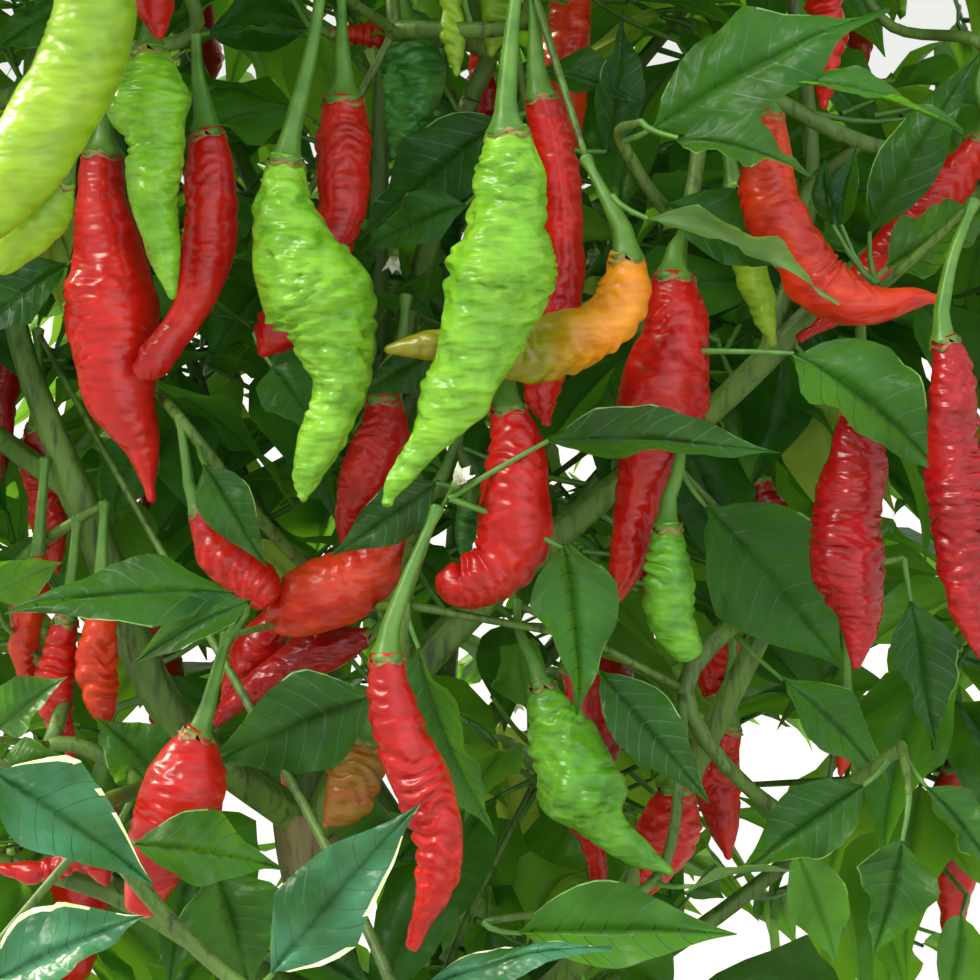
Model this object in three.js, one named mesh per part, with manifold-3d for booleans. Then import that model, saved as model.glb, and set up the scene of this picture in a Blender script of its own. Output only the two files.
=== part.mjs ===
// A chilli pepper plant, rooted in the ground, in leaf and full of ripe and unripe fruit.
// Millimetres, +Z up. The flat cut under the stem is at the origin, and the front is towards -Y.
import * as THREE from 'three';
import { mergeVertices } from 'three/addons/utils/BufferGeometryUtils.js';
import Module from 'manifold-3d';

const wasm = await Module();
wasm.setup();
const { Manifold, Mesh: SolidMesh } = wasm;

// Driving dimensions
const gap = 0.3; // between two solids that touch on the real plant
const seam = 1e-3; // points closer than this are one
const crown = { middle: [10, 25, 560], reach: [285, 215, 340], floor: 214, wall: 1.2 };
const eye = { aim: [20, -45, 480], away: 780, down: THREE.MathUtils.degToRad(6) };
const frontPlace = { half: 156, depth: -12 }; // the part of the front that is laid out by hand
const leaf = {
  short: 62, long: 96, slim: 0.46, petiole: 15, thick: 1.4, widest: 0.42, clear: 1.5,
  farthest: 34, stations: [0.2, 0.45, 0.7, 0.9], throws: 6,
};
const fruit = {
  short: 60, long: 92, wide: 17, stalk: 28, stalkRadius: 1.9, sides: 5, clear: 2, often: 0.75, throws: 9,
  farSides: 4,
};
const twig = {
  first: 16, apart: 46, most: 6, least: 1.5, each: 0.72, sides: 3, clear: 1.5, pathWeight: 0.15, far: 90,
  spread: [300, 300, 320], tries: 420, room: 9, apartFrom: 4,
};
const knuckle = { sway: 14, back: 8 }; // how far a twig bends half way to a far stalk
const limbSides = { stem: 12, thick: 7, thin: 5, thickFrom: 5 };
const colour = { foliage: 0x2f6b2a, bough: 0x55602f, stem: 0x6b5a3c };

// A repeatable run of random numbers from 0 to 1
function dice(start) {
  let seed = start;
  return () => {
    seed = (seed * 1664525 + 1013904223) % 4294967296;
    return seed / 4294967296;
  };
}

// Places. at() takes a place as it is seen from the front: across and height on the upright plane
// through the aim, and how far it stands in front of that plane.
const aim = new THREE.Vector3(...eye.aim);
const lineOfSight = new THREE.Vector3(0, Math.cos(eye.down), -Math.sin(eye.down));
const seenUp = new THREE.Vector3(0, Math.sin(eye.down), Math.cos(eye.down));
const eyePlace = aim.clone().addScaledVector(lineOfSight, -eye.away);

function spot(x, y, z) {
  return new THREE.Vector3(x, y, z);
}

function shrink(near) {
  return (eye.away - near) / eye.away;
}

function at(across, height, near) {
  const scale = shrink(near);
  return eyePlace.clone()
    .addScaledVector(lineOfSight, eye.away - near)
    .add(spot((across - aim.x) * scale, 0, 0))
    .addScaledVector(seenUp, (height - aim.z) * scale);
}

function inFront(place) {
  const from = place.clone().sub(aim);
  const near = -from.dot(lineOfSight);
  const scale = 1 / shrink(near);
  const aside = Math.max(Math.abs(from.x), Math.abs(from.dot(seenUp))) * scale;
  return near > frontPlace.depth && aside < frontPlace.half;
}

// The stem and its boughs. Each starts on its parent, at a share of the parent's length.
const limbPlan = [
  { name: 'main_stem', radii: [[0, 20], [0.04, 14.5], [0.14, 12.4], [0.6, 10.8], [1, 9]],
    line: [spot(0, 0, -2), spot(-3, 1, 60), spot(-12, 3, 150), spot(-26, 4, 270), spot(-40, 2, 372)] },
  { name: 'bough_left', parent: 'main_stem', share: 0.985, radii: [[0, 7.6], [0.35, 7], [0.7, 5], [1, 3.4]],
    line: [at(-75, 412, -22), at(-97, 463, -4), at(-109, 492, 0), at(-121, 525, -4), at(-133, 580, -12)] },
  { name: 'bough_right', parent: 'main_stem', share: 0.97,
    radii: [[0, 6.6], [0.4, 4.8], [0.8, 3.2], [1, 2.6]],
    line: [at(-12, 414, -34), at(20, 449, -32), at(53, 477, -30), at(88, 505, -12),
      at(134, 550, 0), at(158, 566, -4)] },
  { name: 'bough_centre', parent: 'main_stem', share: 0.985, radii: [[0, 6.4], [0.5, 4.6], [1, 3]],
    line: [spot(-36, 14, 410), spot(-24, 20, 462), spot(-6, 14, 530), spot(14, -4, 598)] },
  { name: 'bough_centre_front', parent: 'bough_centre', share: 0.42, radii: [[0, 3.6], [1, 2.5]],
    line: [at(-24, 462, -30), at(-14, 481, -6)] },
  { name: 'bough_right_low', parent: 'main_stem', share: 0.66, radii: [[0, 5.6], [0.6, 4.6], [1, 3.4]],
    line: [spot(10, -2, 284), at(53, 345, -22), at(81, 397, -8), at(102, 438, 2)] },
  { name: 'bough_left_low', parent: 'main_stem', share: 0.84, radii: [[0, 4.2], [1, 2.4]],
    line: [at(-60, 340, -8), at(-92, 358, 10), at(-124, 368, 30)] },
  { name: 'bough_back', parent: 'main_stem', share: 0.5, radii: [[0, 6.6], [0.5, 5], [1, 3]],
    line: [spot(-14, 44, 250), spot(-4, 94, 330), spot(6, 128, 420), spot(12, 146, 520)] },
  { name: 'bough_top_left', parent: 'bough_left', share: 0.86, radii: [[0, 3], [1, 2]],
    line: [spot(-116, -22, 620), spot(-104, -26, 668)] },
  { name: 'bough_outer_left', parent: 'bough_left', share: 0.5, radii: [[0, 4], [1, 2.4]],
    line: [spot(-134, -22, 496), spot(-168, -6, 524)] },
  { name: 'bough_low_left', parent: 'main_stem', share: 0.76, radii: [[0, 4.4], [1, 2.4]],
    line: [spot(-70, 26, 318), spot(-128, 36, 352)] },
  { name: 'bough_outer_right', parent: 'bough_right', share: 0.9, radii: [[0, 2.4], [1, 1.9]],
    line: [spot(168, -24, 560), spot(192, -10, 582)] },
  { name: 'bough_low_right', parent: 'bough_right_low', share: 0.3, radii: [[0, 3.8], [1, 2.2]],
    line: [spot(80, 16, 322), spot(142, 22, 368)] },
  { name: 'bough_top_right', parent: 'bough_right', share: 0.72, radii: [[0, 2.8], [1, 2]],
    line: [spot(118, -22, 570), spot(112, -18, 630), spot(104, -24, 672)] },
  { name: 'bough_top', parent: 'bough_centre', share: 0.62, radii: [[0, 3.6], [1, 2.2]],
    line: [spot(-16, 40, 590), spot(-8, 34, 680), spot(4, 22, 748)] },
  { name: 'bough_back_top_left', parent: 'bough_centre', share: 0.5, radii: [[0, 3.8], [1, 2.2]],
    line: [spot(-46, 52, 540), spot(-84, 92, 620)] },
  { name: 'bough_back_top_right', parent: 'bough_centre', share: 0.56, radii: [[0, 3.6], [1, 2.2]],
    line: [spot(30, 52, 562), spot(88, 94, 634)] },
  { name: 'bough_back_left', parent: 'bough_back', share: 0.5, radii: [[0, 4.2], [1, 2.4]],
    line: [spot(-46, 112, 390), spot(-92, 132, 430)] },
  { name: 'bough_back_right', parent: 'bough_back', share: 0.58, radii: [[0, 4], [1, 2.4]],
    line: [spot(52, 122, 412), spot(100, 134, 448)] },
  { name: 'bough_back_low', parent: 'bough_back', share: 0.34, radii: [[0, 4], [1, 2.4]],
    line: [spot(8, 104, 306), spot(20, 140, 322)] },
  { name: 'bough_front_low', parent: 'main_stem', share: 0.52, radii: [[0, 4], [1, 2.4]],
    line: [spot(-4, -24, 232), spot(12, -56, 262)] },
  { name: 'bough_inner_left', parent: 'bough_centre', share: 0.3, radii: [[0, 3.6], [1, 2.2]],
    line: [spot(-56, 36, 462), spot(-70, 42, 492)] },
  { name: 'bough_inner_right', parent: 'bough_right', share: 0.42, radii: [[0, 3], [1, 2]],
    line: [spot(56, 6, 480), spot(78, 26, 502)] },
];

// The masses whose fruit and leaves are laid out by a seeded rule, each round its own middle
const massPlan = [
  { name: 'foliage_top_left', bough: 'bough_top_left', middle: spot(-100, -50, 745), seed: 11 },
  { name: 'foliage_top_right', bough: 'bough_top_right', middle: spot(110, -50, 750), seed: 12 },
  { name: 'foliage_top', bough: 'bough_top', middle: spot(8, 30, 830), seed: 13 },
  { name: 'foliage_back_top_left', bough: 'bough_back_top_left', middle: spot(-115, 120, 690), seed: 14 },
  { name: 'foliage_back_top_right', bough: 'bough_back_top_right', middle: spot(125, 120, 700), seed: 15 },
  { name: 'foliage_outer_left', bough: 'bough_outer_left', middle: spot(-212, -8, 560), seed: 16 },
  { name: 'foliage_outer_right', bough: 'bough_outer_right', middle: spot(236, -8, 585), seed: 17 },
  { name: 'foliage_back_left', bough: 'bough_back_left', middle: spot(-140, 145, 470), seed: 18 },
  { name: 'foliage_back_right', bough: 'bough_back_right', middle: spot(155, 145, 490), seed: 19 },
  { name: 'foliage_back', bough: 'bough_back', middle: spot(10, 185, 590), seed: 20 },
  { name: 'foliage_back_low', bough: 'bough_back_low', middle: spot(20, 160, 335), seed: 21 },
  { name: 'foliage_low_left', bough: 'bough_low_left', middle: spot(-180, 30, 375), seed: 22 },
  { name: 'foliage_low_right', bough: 'bough_low_right', middle: spot(195, 25, 390), seed: 43 },
  { name: 'foliage_front_low', bough: 'bough_front_low', middle: spot(20, -85, 285), seed: 24 },
  { name: 'foliage_inner_left', bough: 'bough_inner_left', middle: spot(-75, 45, 535), seed: 25 },
  { name: 'foliage_inner_right', bough: 'bough_inner_right', middle: spot(95, 50, 520), seed: 46 },
];

// The front of the plant, as it is seen: fruit by the middle line from the calyx to the tip, its
// greatest width and how far it stands forward, and leaves from base to tip.
const frontFruit = {
  spray_left_top: [
    { shape: 'horn', wide: 30, near: 104, line: [[-84, 656], [-95, 628], [-109, 597], [-126, 566]] },
    { shape: 'horn', wide: 18, near: 84, line: [[-112, 580], [-124, 556], [-137, 540]] },
    { shape: 'slim', wide: 14, near: 80, line: [[-75, 662], [-78, 640], [-81, 613]] },
    { shape: 'horn', wide: 29, near: 38, line: [[-96, 583], [-95, 562], [-93, 537], [-89, 507], [-81, 475]] },
    { shape: 'horn', wide: 23, near: 68, line: [[-79, 617], [-83, 592], [-81, 566], [-76, 536]] },
    { shape: 'slim', wide: 16, near: 52, line: [[-66, 588], [-62, 567], [-66, 545], [-75, 527], [-88, 513]] },
  ],
  spray_centre_top: [
    { shape: 'lantern', wide: 35, near: 74,
      line: [[-38, 584], [-41, 568], [-38, 556], [-30, 536], [-28, 505], [-37, 475]] },
    { shape: 'slim', wide: 16, near: 38, line: [[-24, 600], [-23, 582], [-29, 558], [-40, 536], [-48, 522]] },
    { shape: 'lantern', wide: 33, near: 104,
      line: [[24, 591], [26, 570], [23, 549], [16, 525], [7, 498], [-13, 473]] },
    { shape: 'slim', wide: 16, near: 46, line: [[35, 602], [39, 578], [42, 556], [38, 530], [36, 497]] },
    { shape: 'hook', wide: 18, near: 76,
      line: [[61, 554], [66, 540], [57, 528], [44, 522], [22, 521], [-10, 522]] },
    { shape: 'horn', wide: 19, near: 2, line: [[-6, 620], [-3, 604], [-5, 591], [-9, 579]] },
    { shape: 'slim', wide: 8, near: 18, line: [[8, 642], [8, 622], [10, 604]] },
    { shape: 'slim', wide: 11, near: 12, line: [[22, 644], [22, 626], [20, 610]] },
    { shape: 'slim', wide: 6, near: -24, line: [[-28, 617], [-10, 616], [4, 614]] },
  ],
  spray_centre: [
    { shape: 'hook', wide: 19, near: 64,
      line: [[26, 508], [29, 492], [28, 474], [22, 455], [11, 446], [6, 456]] },
    { shape: 'slim', wide: 19, near: 22, line: [[-9, 509], [-14, 490], [-22, 470]] },
    { shape: 'horn', wide: 27, near: 42, line: [[-2, 472], [-16, 462], [-32, 451], [-50, 448]] },
    { shape: 'slim', wide: 13, near: 50, line: [[-67, 473], [-62, 463], [-53, 454], [-44, 446]] },
    { shape: 'horn', wide: 19, near: 22, line: [[-20, 438], [-35, 429], [-49, 420], [-62, 411]] },
    { shape: 'lantern', wide: 26, near: 80, line: [[-66, 408], [-68, 393], [-77, 372], [-86, 352]] },
    { shape: 'slim', wide: 19, near: 92, line: [[-10, 434], [-9, 417], [0, 392], [5, 367], [-4, 340]] },
    { shape: 'slim', wide: 15, near: 2, line: [[-17, 406], [-22, 391], [-30, 379]] },
    { shape: 'slim', wide: 7, near: 46, line: [[14, 478], [13, 469], [12, 459]] },
  ],
  spray_right_top: [
    { shape: 'horn', wide: 27, near: 52,
      line: [[77, 546], [75, 526], [73, 505], [68, 478], [61, 455], [52, 438]] },
    { shape: 'hook', wide: 21, near: 66,
      line: [[102, 598], [102, 576], [109, 556], [121, 541], [138, 536], [158, 536]] },
    { shape: 'slim', wide: 12, near: 22, line: [[119, 640], [121, 616], [120, 594]] },
    { shape: 'slim', wide: 15, near: 14, line: [[162, 586], [150, 567], [136, 548]] },
    { shape: 'horn', wide: 22, near: 52, line: [[131, 506], [130, 486], [128, 459], [129, 441], [132, 425]] },
    { shape: 'horn', wide: 18, near: 82, line: [[154, 530], [156, 502], [159, 471], [163, 447], [169, 428]] },
    { shape: 'slim', wide: 11, near: 30, line: [[93, 572], [98, 546], [105, 523]] },
    { shape: 'slim', wide: 14, near: 66, line: [[75, 470], [72, 453], [75, 441], [80, 426]] },
  ],
  spray_right_low: [
    { shape: 'lantern', wide: 29, near: 54, line: [[32, 426], [41, 408], [49, 391], [60, 376], [78, 363]] },
    { shape: 'horn', wide: 19, near: 20, line: [[76, 391], [73, 375], [65, 356]] },
    { shape: 'slim', wide: 14, near: -26, line: [[91, 410], [88, 392], [92, 369]] },
    { shape: 'slim', wide: 12, near: -34, line: [[92, 437], [88, 426], [84, 418]] },
    { shape: 'slim', wide: 8, near: -30, line: [[127, 418], [127, 406], [125, 394]] },
  ],
  spray_left_low: [
    { shape: 'slim', wide: 13, near: -22, line: [[-115, 500], [-113, 478], [-110, 455]] },
    { shape: 'slim', wide: 11, near: 18, line: [[-107, 442], [-111, 420], [-105, 398]] },
    { shape: 'slim', wide: 12, near: 26, line: [[-97, 446], [-98, 425], [-95, 408]] },
    { shape: 'slim', wide: 10, near: 8, line: [[-116, 460], [-119, 438], [-117, 416]] },
    { shape: 'slim', wide: 7, near: 44, line: [[-100, 371], [-114, 366], [-130, 367]] },
    { shape: 'slim', wide: 8, near: 34, line: [[-104, 376], [-99, 369], [-95, 361]] },
  ],
};

// Where the stalks of a few fruit start, by the fruit's place in its list. The others start above
// the calyx, on the line of the fruit.
const stalkStart = {
  spray_centre_top: { 0: [-29, 642], 2: [31, 650], 4: [49, 579] },
  spray_centre: { 0: [27, 524], 4: [-10, 448], 5: [-59, 436], 6: [4, 474], 8: [15, 484] },
  spray_right_top: { 0: [78, 562], 1: [104, 616], 5: [165, 566] },
  spray_right_low: { 0: [28, 446] },
};

// wide and near are as seen, tipNear is the tip's place forward, and roll turns the blade about its
// midrib: 0 shows its upper side to the front, 90 its edge and 180 its underside.
const frontLeaves = {
  spray_left_top: [
    { from: [-100, 627], to: [-128, 612], wide: 17, near: 22, tipNear: 14, roll: 30 },
    { from: [-66, 617], to: [-33, 616], wide: 8, near: 40, tipNear: 44, roll: 60 },
    { from: [-106, 548], to: [-140, 523], wide: 20, near: 24, tipNear: 30, roll: 25 },
  ],
  spray_centre_top: [
    { from: [55, 580], to: [60, 624], wide: 19, near: 20, tipNear: 14, roll: -30 },
    { from: [34, 606], to: [66, 597], wide: 17, near: 10, tipNear: 22, roll: 35 },
    { from: [26, 592], to: [-20, 556], wide: 27, near: 14, tipNear: 8, roll: 10 },
    { from: [14, 566], to: [-19, 552], wide: 17, near: 26, tipNear: 22, roll: 20 },
    { from: [-44, 533], to: [-20, 492], wide: 22, near: -4, tipNear: -8, roll: 0 },
    { from: [12, 640], to: [44, 626], wide: 20, near: 26, tipNear: 22, roll: 20 },
  ],
  spray_centre: [
    { from: [36, 495], to: [107, 490], wide: 21, near: 74, tipNear: 84, roll: 38 },
    { from: [-56, 449], to: [-126, 444], wide: 24, near: 84, tipNear: 96, roll: 35 },
    { from: [-51, 447], to: [-88, 428], wide: 15, near: 86, tipNear: 96, roll: 35 },
    { from: [-66, 488], to: [-47, 457], wide: 17, near: 60, tipNear: 66, roll: 0 },
    { from: [5, 483], to: [-28, 460], wide: 17, near: 62, tipNear: 66, roll: -10 },
    { from: [-14, 419], to: [-66, 397], wide: 31, near: 60, tipNear: 66, roll: 12 },
    { from: [-2, 434], to: [22, 377], wide: 30, near: 66, tipNear: 58, roll: -40 },
    { from: [42, 464], to: [47, 413], wide: 25, near: 70, tipNear: 84, roll: 15 },
    { from: [52, 426], to: [86, 386], wide: 22, near: 62, tipNear: 70, roll: 10 },
    { from: [-84, 500], to: [-94, 470], wide: 20, near: -18, tipNear: -20, roll: 10 },
  ],
  spray_right_top: [
    { from: [68, 588], to: [139, 626], wide: 34, near: 70, tipNear: 84, roll: 20 },
    { from: [75, 586], to: [117, 575], wide: 19, near: 84, tipNear: 94, roll: 40 },
    { from: [106, 602], to: [162, 588], wide: 15, near: 82, tipNear: 92, roll: 50 },
    { from: [134, 555], to: [170, 606], wide: 34, near: 44, tipNear: 58, roll: 15 },
    { from: [66, 562], to: [125, 536], wide: 15, near: 84, tipNear: 94, roll: 115 },
    { from: [72, 566], to: [112, 545], wide: 24, near: 58, tipNear: 46, roll: 20 },
    { from: [110, 522], to: [157, 485], wide: 34, near: 70, tipNear: 84, roll: 30 },
    { from: [125, 558], to: [130, 584], wide: 9, near: 52, tipNear: 54, roll: 20 },
    { from: [123, 558], to: [120, 580], wide: 9, near: 54, tipNear: 50, roll: -30 },
    { from: [138, 546], to: [176, 566], wide: 26, near: 34, tipNear: 40, roll: 40 },
  ],
  spray_right_low: [
    { from: [84, 476], to: [126, 426], wide: 42, near: 22, tipNear: 14, roll: 12 },
    { from: [133, 392], to: [93, 364], wide: 22, near: 40, tipNear: 50, roll: 12 },
    { from: [144, 376], to: [135, 340], wide: 25, near: 60, tipNear: 72, roll: -12 },
    { from: [28, 347], to: [94, 347], wide: 26, near: 74, tipNear: 84, roll: 25 },
    { from: [79, 361], to: [112, 365], wide: 9, near: 52, tipNear: 60, roll: 110 },
    { from: [107, 424], to: [140, 390], wide: 22, near: 20, tipNear: 22, roll: 40 },
    { from: [112, 372], to: [124, 338], wide: 20, near: 14, tipNear: 10, roll: 10 },
    { from: [150, 392], to: [172, 364], wide: 17, near: 44, tipNear: 50, roll: 40 },
    { from: [146, 448], to: [152, 402], wide: 22, near: 16, tipNear: 12, roll: 20 },
  ],
  spray_left_low: [
    { from: [-130, 396], to: [-81, 362], wide: 30, near: 128, tipNear: 134, roll: 22 },
    { from: [-88, 374], to: [-41, 366], wide: 21, near: 84, tipNear: 92, roll: 40 },
    { from: [-46, 334], to: [-1, 386], wide: 28, near: 122, tipNear: 132, roll: 22 },
    { from: [-62, 366], to: [-52, 330], wide: 34, near: 78, tipNear: 82, roll: 12 },
    { from: [-130, 332], to: [-83, 352], wide: 28, near: 130, tipNear: 138, roll: 40 },
    { from: [0, 330], to: [56, 344], wide: 17, near: 110, tipNear: 122, roll: 55 },
    { from: [-130, 448], to: [-108, 458], wide: 16, near: 26, tipNear: 22, roll: 150 },
    { from: [-128, 408], to: [-107, 424], wide: 18, near: 66, tipNear: 76, roll: 30 },
    { from: [-128, 396], to: [-108, 400], wide: 16, near: 58, tipNear: 66, roll: 30 },
    { from: [-78, 392], to: [-98, 412], wide: 22, near: 30, tipNear: 34, roll: 20 },
  ],
};

// The boughs that the front sprays start from
const sprayBough = {
  spray_left_top: 'bough_left',
  spray_centre_top: 'bough_centre',
  spray_centre: 'bough_centre_front',
  spray_right_top: 'bough_right',
  spray_right_low: 'bough_right_low',
  spray_left_low: 'bough_left_low',
};

// A fruit's half width along its length, as a share of its greatest half width
const fruitShape = {
  horn: [[0, 0.5], [0.06, 0.62], [0.3, 1], [0.5, 0.92], [0.72, 0.58], [0.88, 0.3], [1, 0]],
  slim: [[0, 0.6], [0.08, 0.8], [0.3, 1], [0.6, 0.92], [0.85, 0.6], [1, 0]],
  lantern: [
    [0, 0.36], [0.12, 0.44], [0.2, 0.62], [0.4, 1], [0.55, 0.9], [0.72, 0.48], [0.88, 0.22], [1, 0],
  ],
  hook: [[0, 0.55], [0.08, 0.8], [0.3, 1], [0.6, 0.82], [0.85, 0.55], [1, 0]],
};
const fruitRings = [0, 0.18, 0.42, 0.66, 0.86, 1];
const tipHalf = 0.8;

// How a seeded leaf and a seeded fruit are thrown: each pair is a least value and a range
const leafThrow = {
  turn: 2.6, rise: [-0.1, 0.5], riseSpread: 0.7, droop: [0.2, 0.45], roll: 1.3, lift: 3, arch: 0.1, step: 2.1,
};
const fruitThrow = {
  wide: [0.8, 0.6], sway: 0.5, curl: 0.7, bend: [9, -5], top: 13, horns: 0.4, slims: 0.75, share: 0.72,
};

function blend(pairs, t) {
  let k = 0;
  while (k < pairs.length - 2 && t > pairs[k + 1][0]) k += 1;
  const [t0, v0] = pairs[k];
  const [t1, v1] = pairs[k + 1];
  return v0 + (v1 - v0) * Math.min(Math.max((t - t0) / (t1 - t0), 0), 1);
}

function smooth(points) {
  return new THREE.CatmullRomCurve3(points, false, 'catmullrom', 0.5);
}

// Solids

function toSolid(geometry) {
  geometry.deleteAttribute('normal');
  geometry.deleteAttribute('uv');
  const merged = mergeVertices(geometry, seam);
  return new Manifold(new SolidMesh({
    numProp: 3,
    vertProperties: new Float32Array(merged.attributes.position.array),
    triVerts: new Uint32Array(merged.index.array),
  }));
}

function reshape(geometry, place) {
  const position = geometry.attributes.position;
  for (let k = 0; k < position.count; k += 1) {
    const moved = place(position.getX(k), position.getY(k), position.getZ(k));
    position.setXYZ(k, moved.x, moved.y, moved.z);
  }
  return geometry;
}

// Two directions across a row of places, carried along it without a twist
function frames(places) {
  const last = places.length - 1;
  let side = null;
  return places.map((place, k) => {
    const ahead = places[Math.min(k + 1, last)].clone().sub(places[Math.max(k - 1, 0)]).normalize();
    if (!side) side = Math.abs(ahead.y) < 0.8 ? spot(0, 1, 0) : spot(1, 0, 0);
    side = side.clone().addScaledVector(ahead, -side.dot(ahead)).normalize();
    return { side, other: side.clone().cross(ahead) };
  });
}

// A round body along rows of { place, half }: a cylinder's rings, or a sphere's with its poles
function loft(geometry, rows, rowOf, way) {
  const across = frames(rows.map((row) => row.place));
  return toSolid(reshape(geometry, (x, y, z) => {
    const k = rowOf(y);
    const spread = Math.hypot(x, z);
    const size = spread > 1e-6 ? rows[k].half / spread : 0;
    return rows[k].place.clone().addScaledVector(across[k].side, x * size)
      .addScaledVector(across[k].other, way * z * size);
  }));
}

function tube(rows, sides) {
  const steps = rows.length - 1;
  const rowOf = (y) => Math.round((y + 0.5) * steps);
  return loft(new THREE.CylinderGeometry(1, 1, 1, sides, steps), rows, rowOf, 1);
}

function pod(rows, sides) {
  const steps = rows.length - 1;
  const rowOf = (y) => Math.round((Math.acos(THREE.MathUtils.clamp(y, -1, 1)) / Math.PI) * steps);
  return loft(new THREE.SphereGeometry(1, sides, steps), rows, rowOf, -1);
}

function limbRows(curve, plan, steps, grow) {
  return Array.from({ length: steps + 1 }, (_, k) => (
    { place: curve.getPoint(k / steps), half: blend(plan.radii, k / steps) + grow }));
}

// Stalk and fruit in one: the stalk's root and bend, then rings from the calyx to the tip
function fruitSolid(item, sides) {
  const curve = smooth(item.line);
  const rows = fruitRings.map((t) => {
    const half = blend(fruitShape[item.shape], t) * item.wide * 0.5;
    return { place: curve.getPoint(t), half: Math.max(half, tipHalf) };
  });
  const [root, bend] = item.stalk;
  return pod([{ place: root, half: 0 }, { place: bend, half: fruit.stalkRadius }, ...rows], sides);
}

function leafPoints(item) {
  const run = item.to.clone().sub(item.from);
  const side = run.clone().cross(item.face).normalize();
  const middle = item.from.clone().addScaledVector(run, leaf.widest).addScaledVector(item.face, item.arch);
  return {
    middle,
    left: middle.clone().addScaledVector(side, -item.wide / 2),
    right: middle.clone().addScaledVector(side, item.wide / 2),
  };
}

// Eight faces: the root in its twig, the two edges, the tip, and the blade's two sides
function leafSolid(item) {
  const { middle, left, right } = leafPoints(item);
  return toSolid(reshape(new THREE.OctahedronGeometry(1), (x, y, z) => {
    if (x > 0.5) return item.to;
    if (x < -0.5) return item.root;
    if (z > 0.5) return right;
    if (z < -0.5) return left;
    return middle.clone().addScaledVector(item.face, (y > 0 ? 0.5 : -0.5) * leaf.thick);
  }));
}

// Room: what a twig, leaf or fruit has to keep clear of

function capsulesOf(points, radius) {
  return points.slice(1).map((end, k) => ({ start: points[k], end, radius: radius(k) }));
}

function distanceTo(place, capsule) {
  const span = capsule.end.clone().sub(capsule.start);
  const t = THREE.MathUtils.clamp(place.clone().sub(capsule.start).dot(span) / span.lengthSq(), 0, 1);
  return capsule.start.clone().addScaledVector(span, t).distanceTo(place) - capsule.radius;
}

function touches(places, margin, capsules) {
  return capsules.some((capsule) => places.some((place) => distanceTo(place, capsule) < margin));
}

function between(from, to, count) {
  return Array.from({ length: count + 1 }, (_, k) => from.clone().lerp(to, k / count));
}

function inCrown(place) {
  const from = place.clone().sub(spot(...crown.middle));
  return place.z > crown.floor
    && Math.hypot(from.x / crown.reach[0], from.y / crown.reach[1], from.z / crown.reach[2]) < 1;
}

// A mass keeps to the places that are nearer to its own middle than to any other mass's
function inCell(place, mass) {
  return massPlan.every((other) => {
    if (other === mass) return true;
    const across = other.middle.clone().sub(mass.middle);
    const centre = mass.middle.clone().add(other.middle).multiplyScalar(0.5);
    return centre.sub(place).dot(across) / across.length() > crown.wall;
  });
}

function allowed(place, mass) {
  return inCrown(place) && inCell(place, mass) && !inFront(place);
}

// Twigs: one stem that branches to every point, each joined where its path stays short

function growTwigs(start, heading, points, blocked) {
  const nodes = [
    { place: start, from: -1, path: 0 },
    { place: start.clone().addScaledVector(heading, twig.first), from: 0, path: twig.first },
  ];
  const waiting = [...points];
  while (waiting.length) {
    let best = null;
    nodes.slice(1).forEach((node, k) => {
      waiting.forEach((point, index) => {
        const step = point.place.distanceTo(node.place);
        const cost = step + twig.pathWeight * node.path;
        if ((best && cost >= best.cost) || blocked(node.place, point.place)) return;
        best = { cost, from: k + 1, index, path: node.path + step };
      });
    });
    if (!best) break;
    const point = waiting.splice(best.index, 1)[0];
    nodes.push({ ...point, from: best.from, path: best.path });
  }
  nodes.forEach((node) => { node.load = 1; });
  for (let k = nodes.length - 1; k > 0; k -= 1) nodes[nodes[k].from].load += nodes[k].load;
  nodes.forEach((node) => { node.radius = twig.each * Math.sqrt(node.load) + 0.5; });
  return nodes;
}

// Each run of twigs goes on through its heaviest shoot, and the others start inside it
function twigRuns(nodes) {
  const shoots = nodes.map(() => []);
  nodes.forEach((node, k) => { if (k > 0) shoots[node.from].push(k); });
  shoots.forEach((list) => list.sort((a, b) => nodes[b].load - nodes[a].load || a - b));
  const runs = [];
  const follow = (first) => {
    const run = [nodes[first].from, first];
    while (shoots[run.at(-1)].length) run.push(shoots[run.at(-1)][0]);
    return run;
  };
  nodes.forEach((node, k) => {
    if (k > 0 && (node.from === 0 || shoots[node.from][0] !== k)) runs.push(follow(k));
  });
  return runs;
}

function twigSolids(nodes, limit) {
  const half = (node) => THREE.MathUtils.clamp(node.radius * 1.2, twig.least, limit);
  return twigRuns(nodes).map((run) => {
    const rows = run.map((k) => ({ place: nodes[k].place, half: half(nodes[k]) }));
    rows[0].half = rows[1].half;
    return tube(rows, twig.sides);
  });
}

// The front, laid out from the lists

function frontItems(name) {
  const fruits = frontFruit[name].map((entry, index) => {
    const line = entry.line.map(([across, height]) => at(across, height, entry.near));
    const given = (stalkStart[name] || {})[index];
    const lead = line[0].clone().sub(line[1]).normalize();
    const end = line[0];
    const root = given ? at(given[0], given[1], entry.near - 8)
      : end.clone().addScaledVector(lead, fruit.stalk * 0.5).add(spot(0, 5, fruit.stalk * 0.5));
    const bend = root.clone().lerp(end, 0.55).addScaledVector(lead, 3);
    return { shape: entry.shape, wide: entry.wide * shrink(entry.near), line, stalk: [root, bend] };
  });
  const leaves = frontLeaves[name].map((entry) => {
    const from = at(entry.from[0], entry.from[1], entry.near);
    const to = at(entry.to[0], entry.to[1], entry.tipNear);
    const run = to.clone().sub(from).normalize();
    const flat = lineOfSight.clone().negate().addScaledVector(run, lineOfSight.dot(run)).normalize();
    const face = flat.applyAxisAngle(run, THREE.MathUtils.degToRad(run.x > 0 ? -entry.roll : entry.roll));
    const root = from.clone().addScaledVector(run, -leaf.petiole * 0.6).add(spot(0, 4, 2));
    return { from, to, face, root, wide: entry.wide * shrink(entry.near), arch: to.distanceTo(from) * 0.06 };
  });
  return { fruits, leaves };
}

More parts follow.
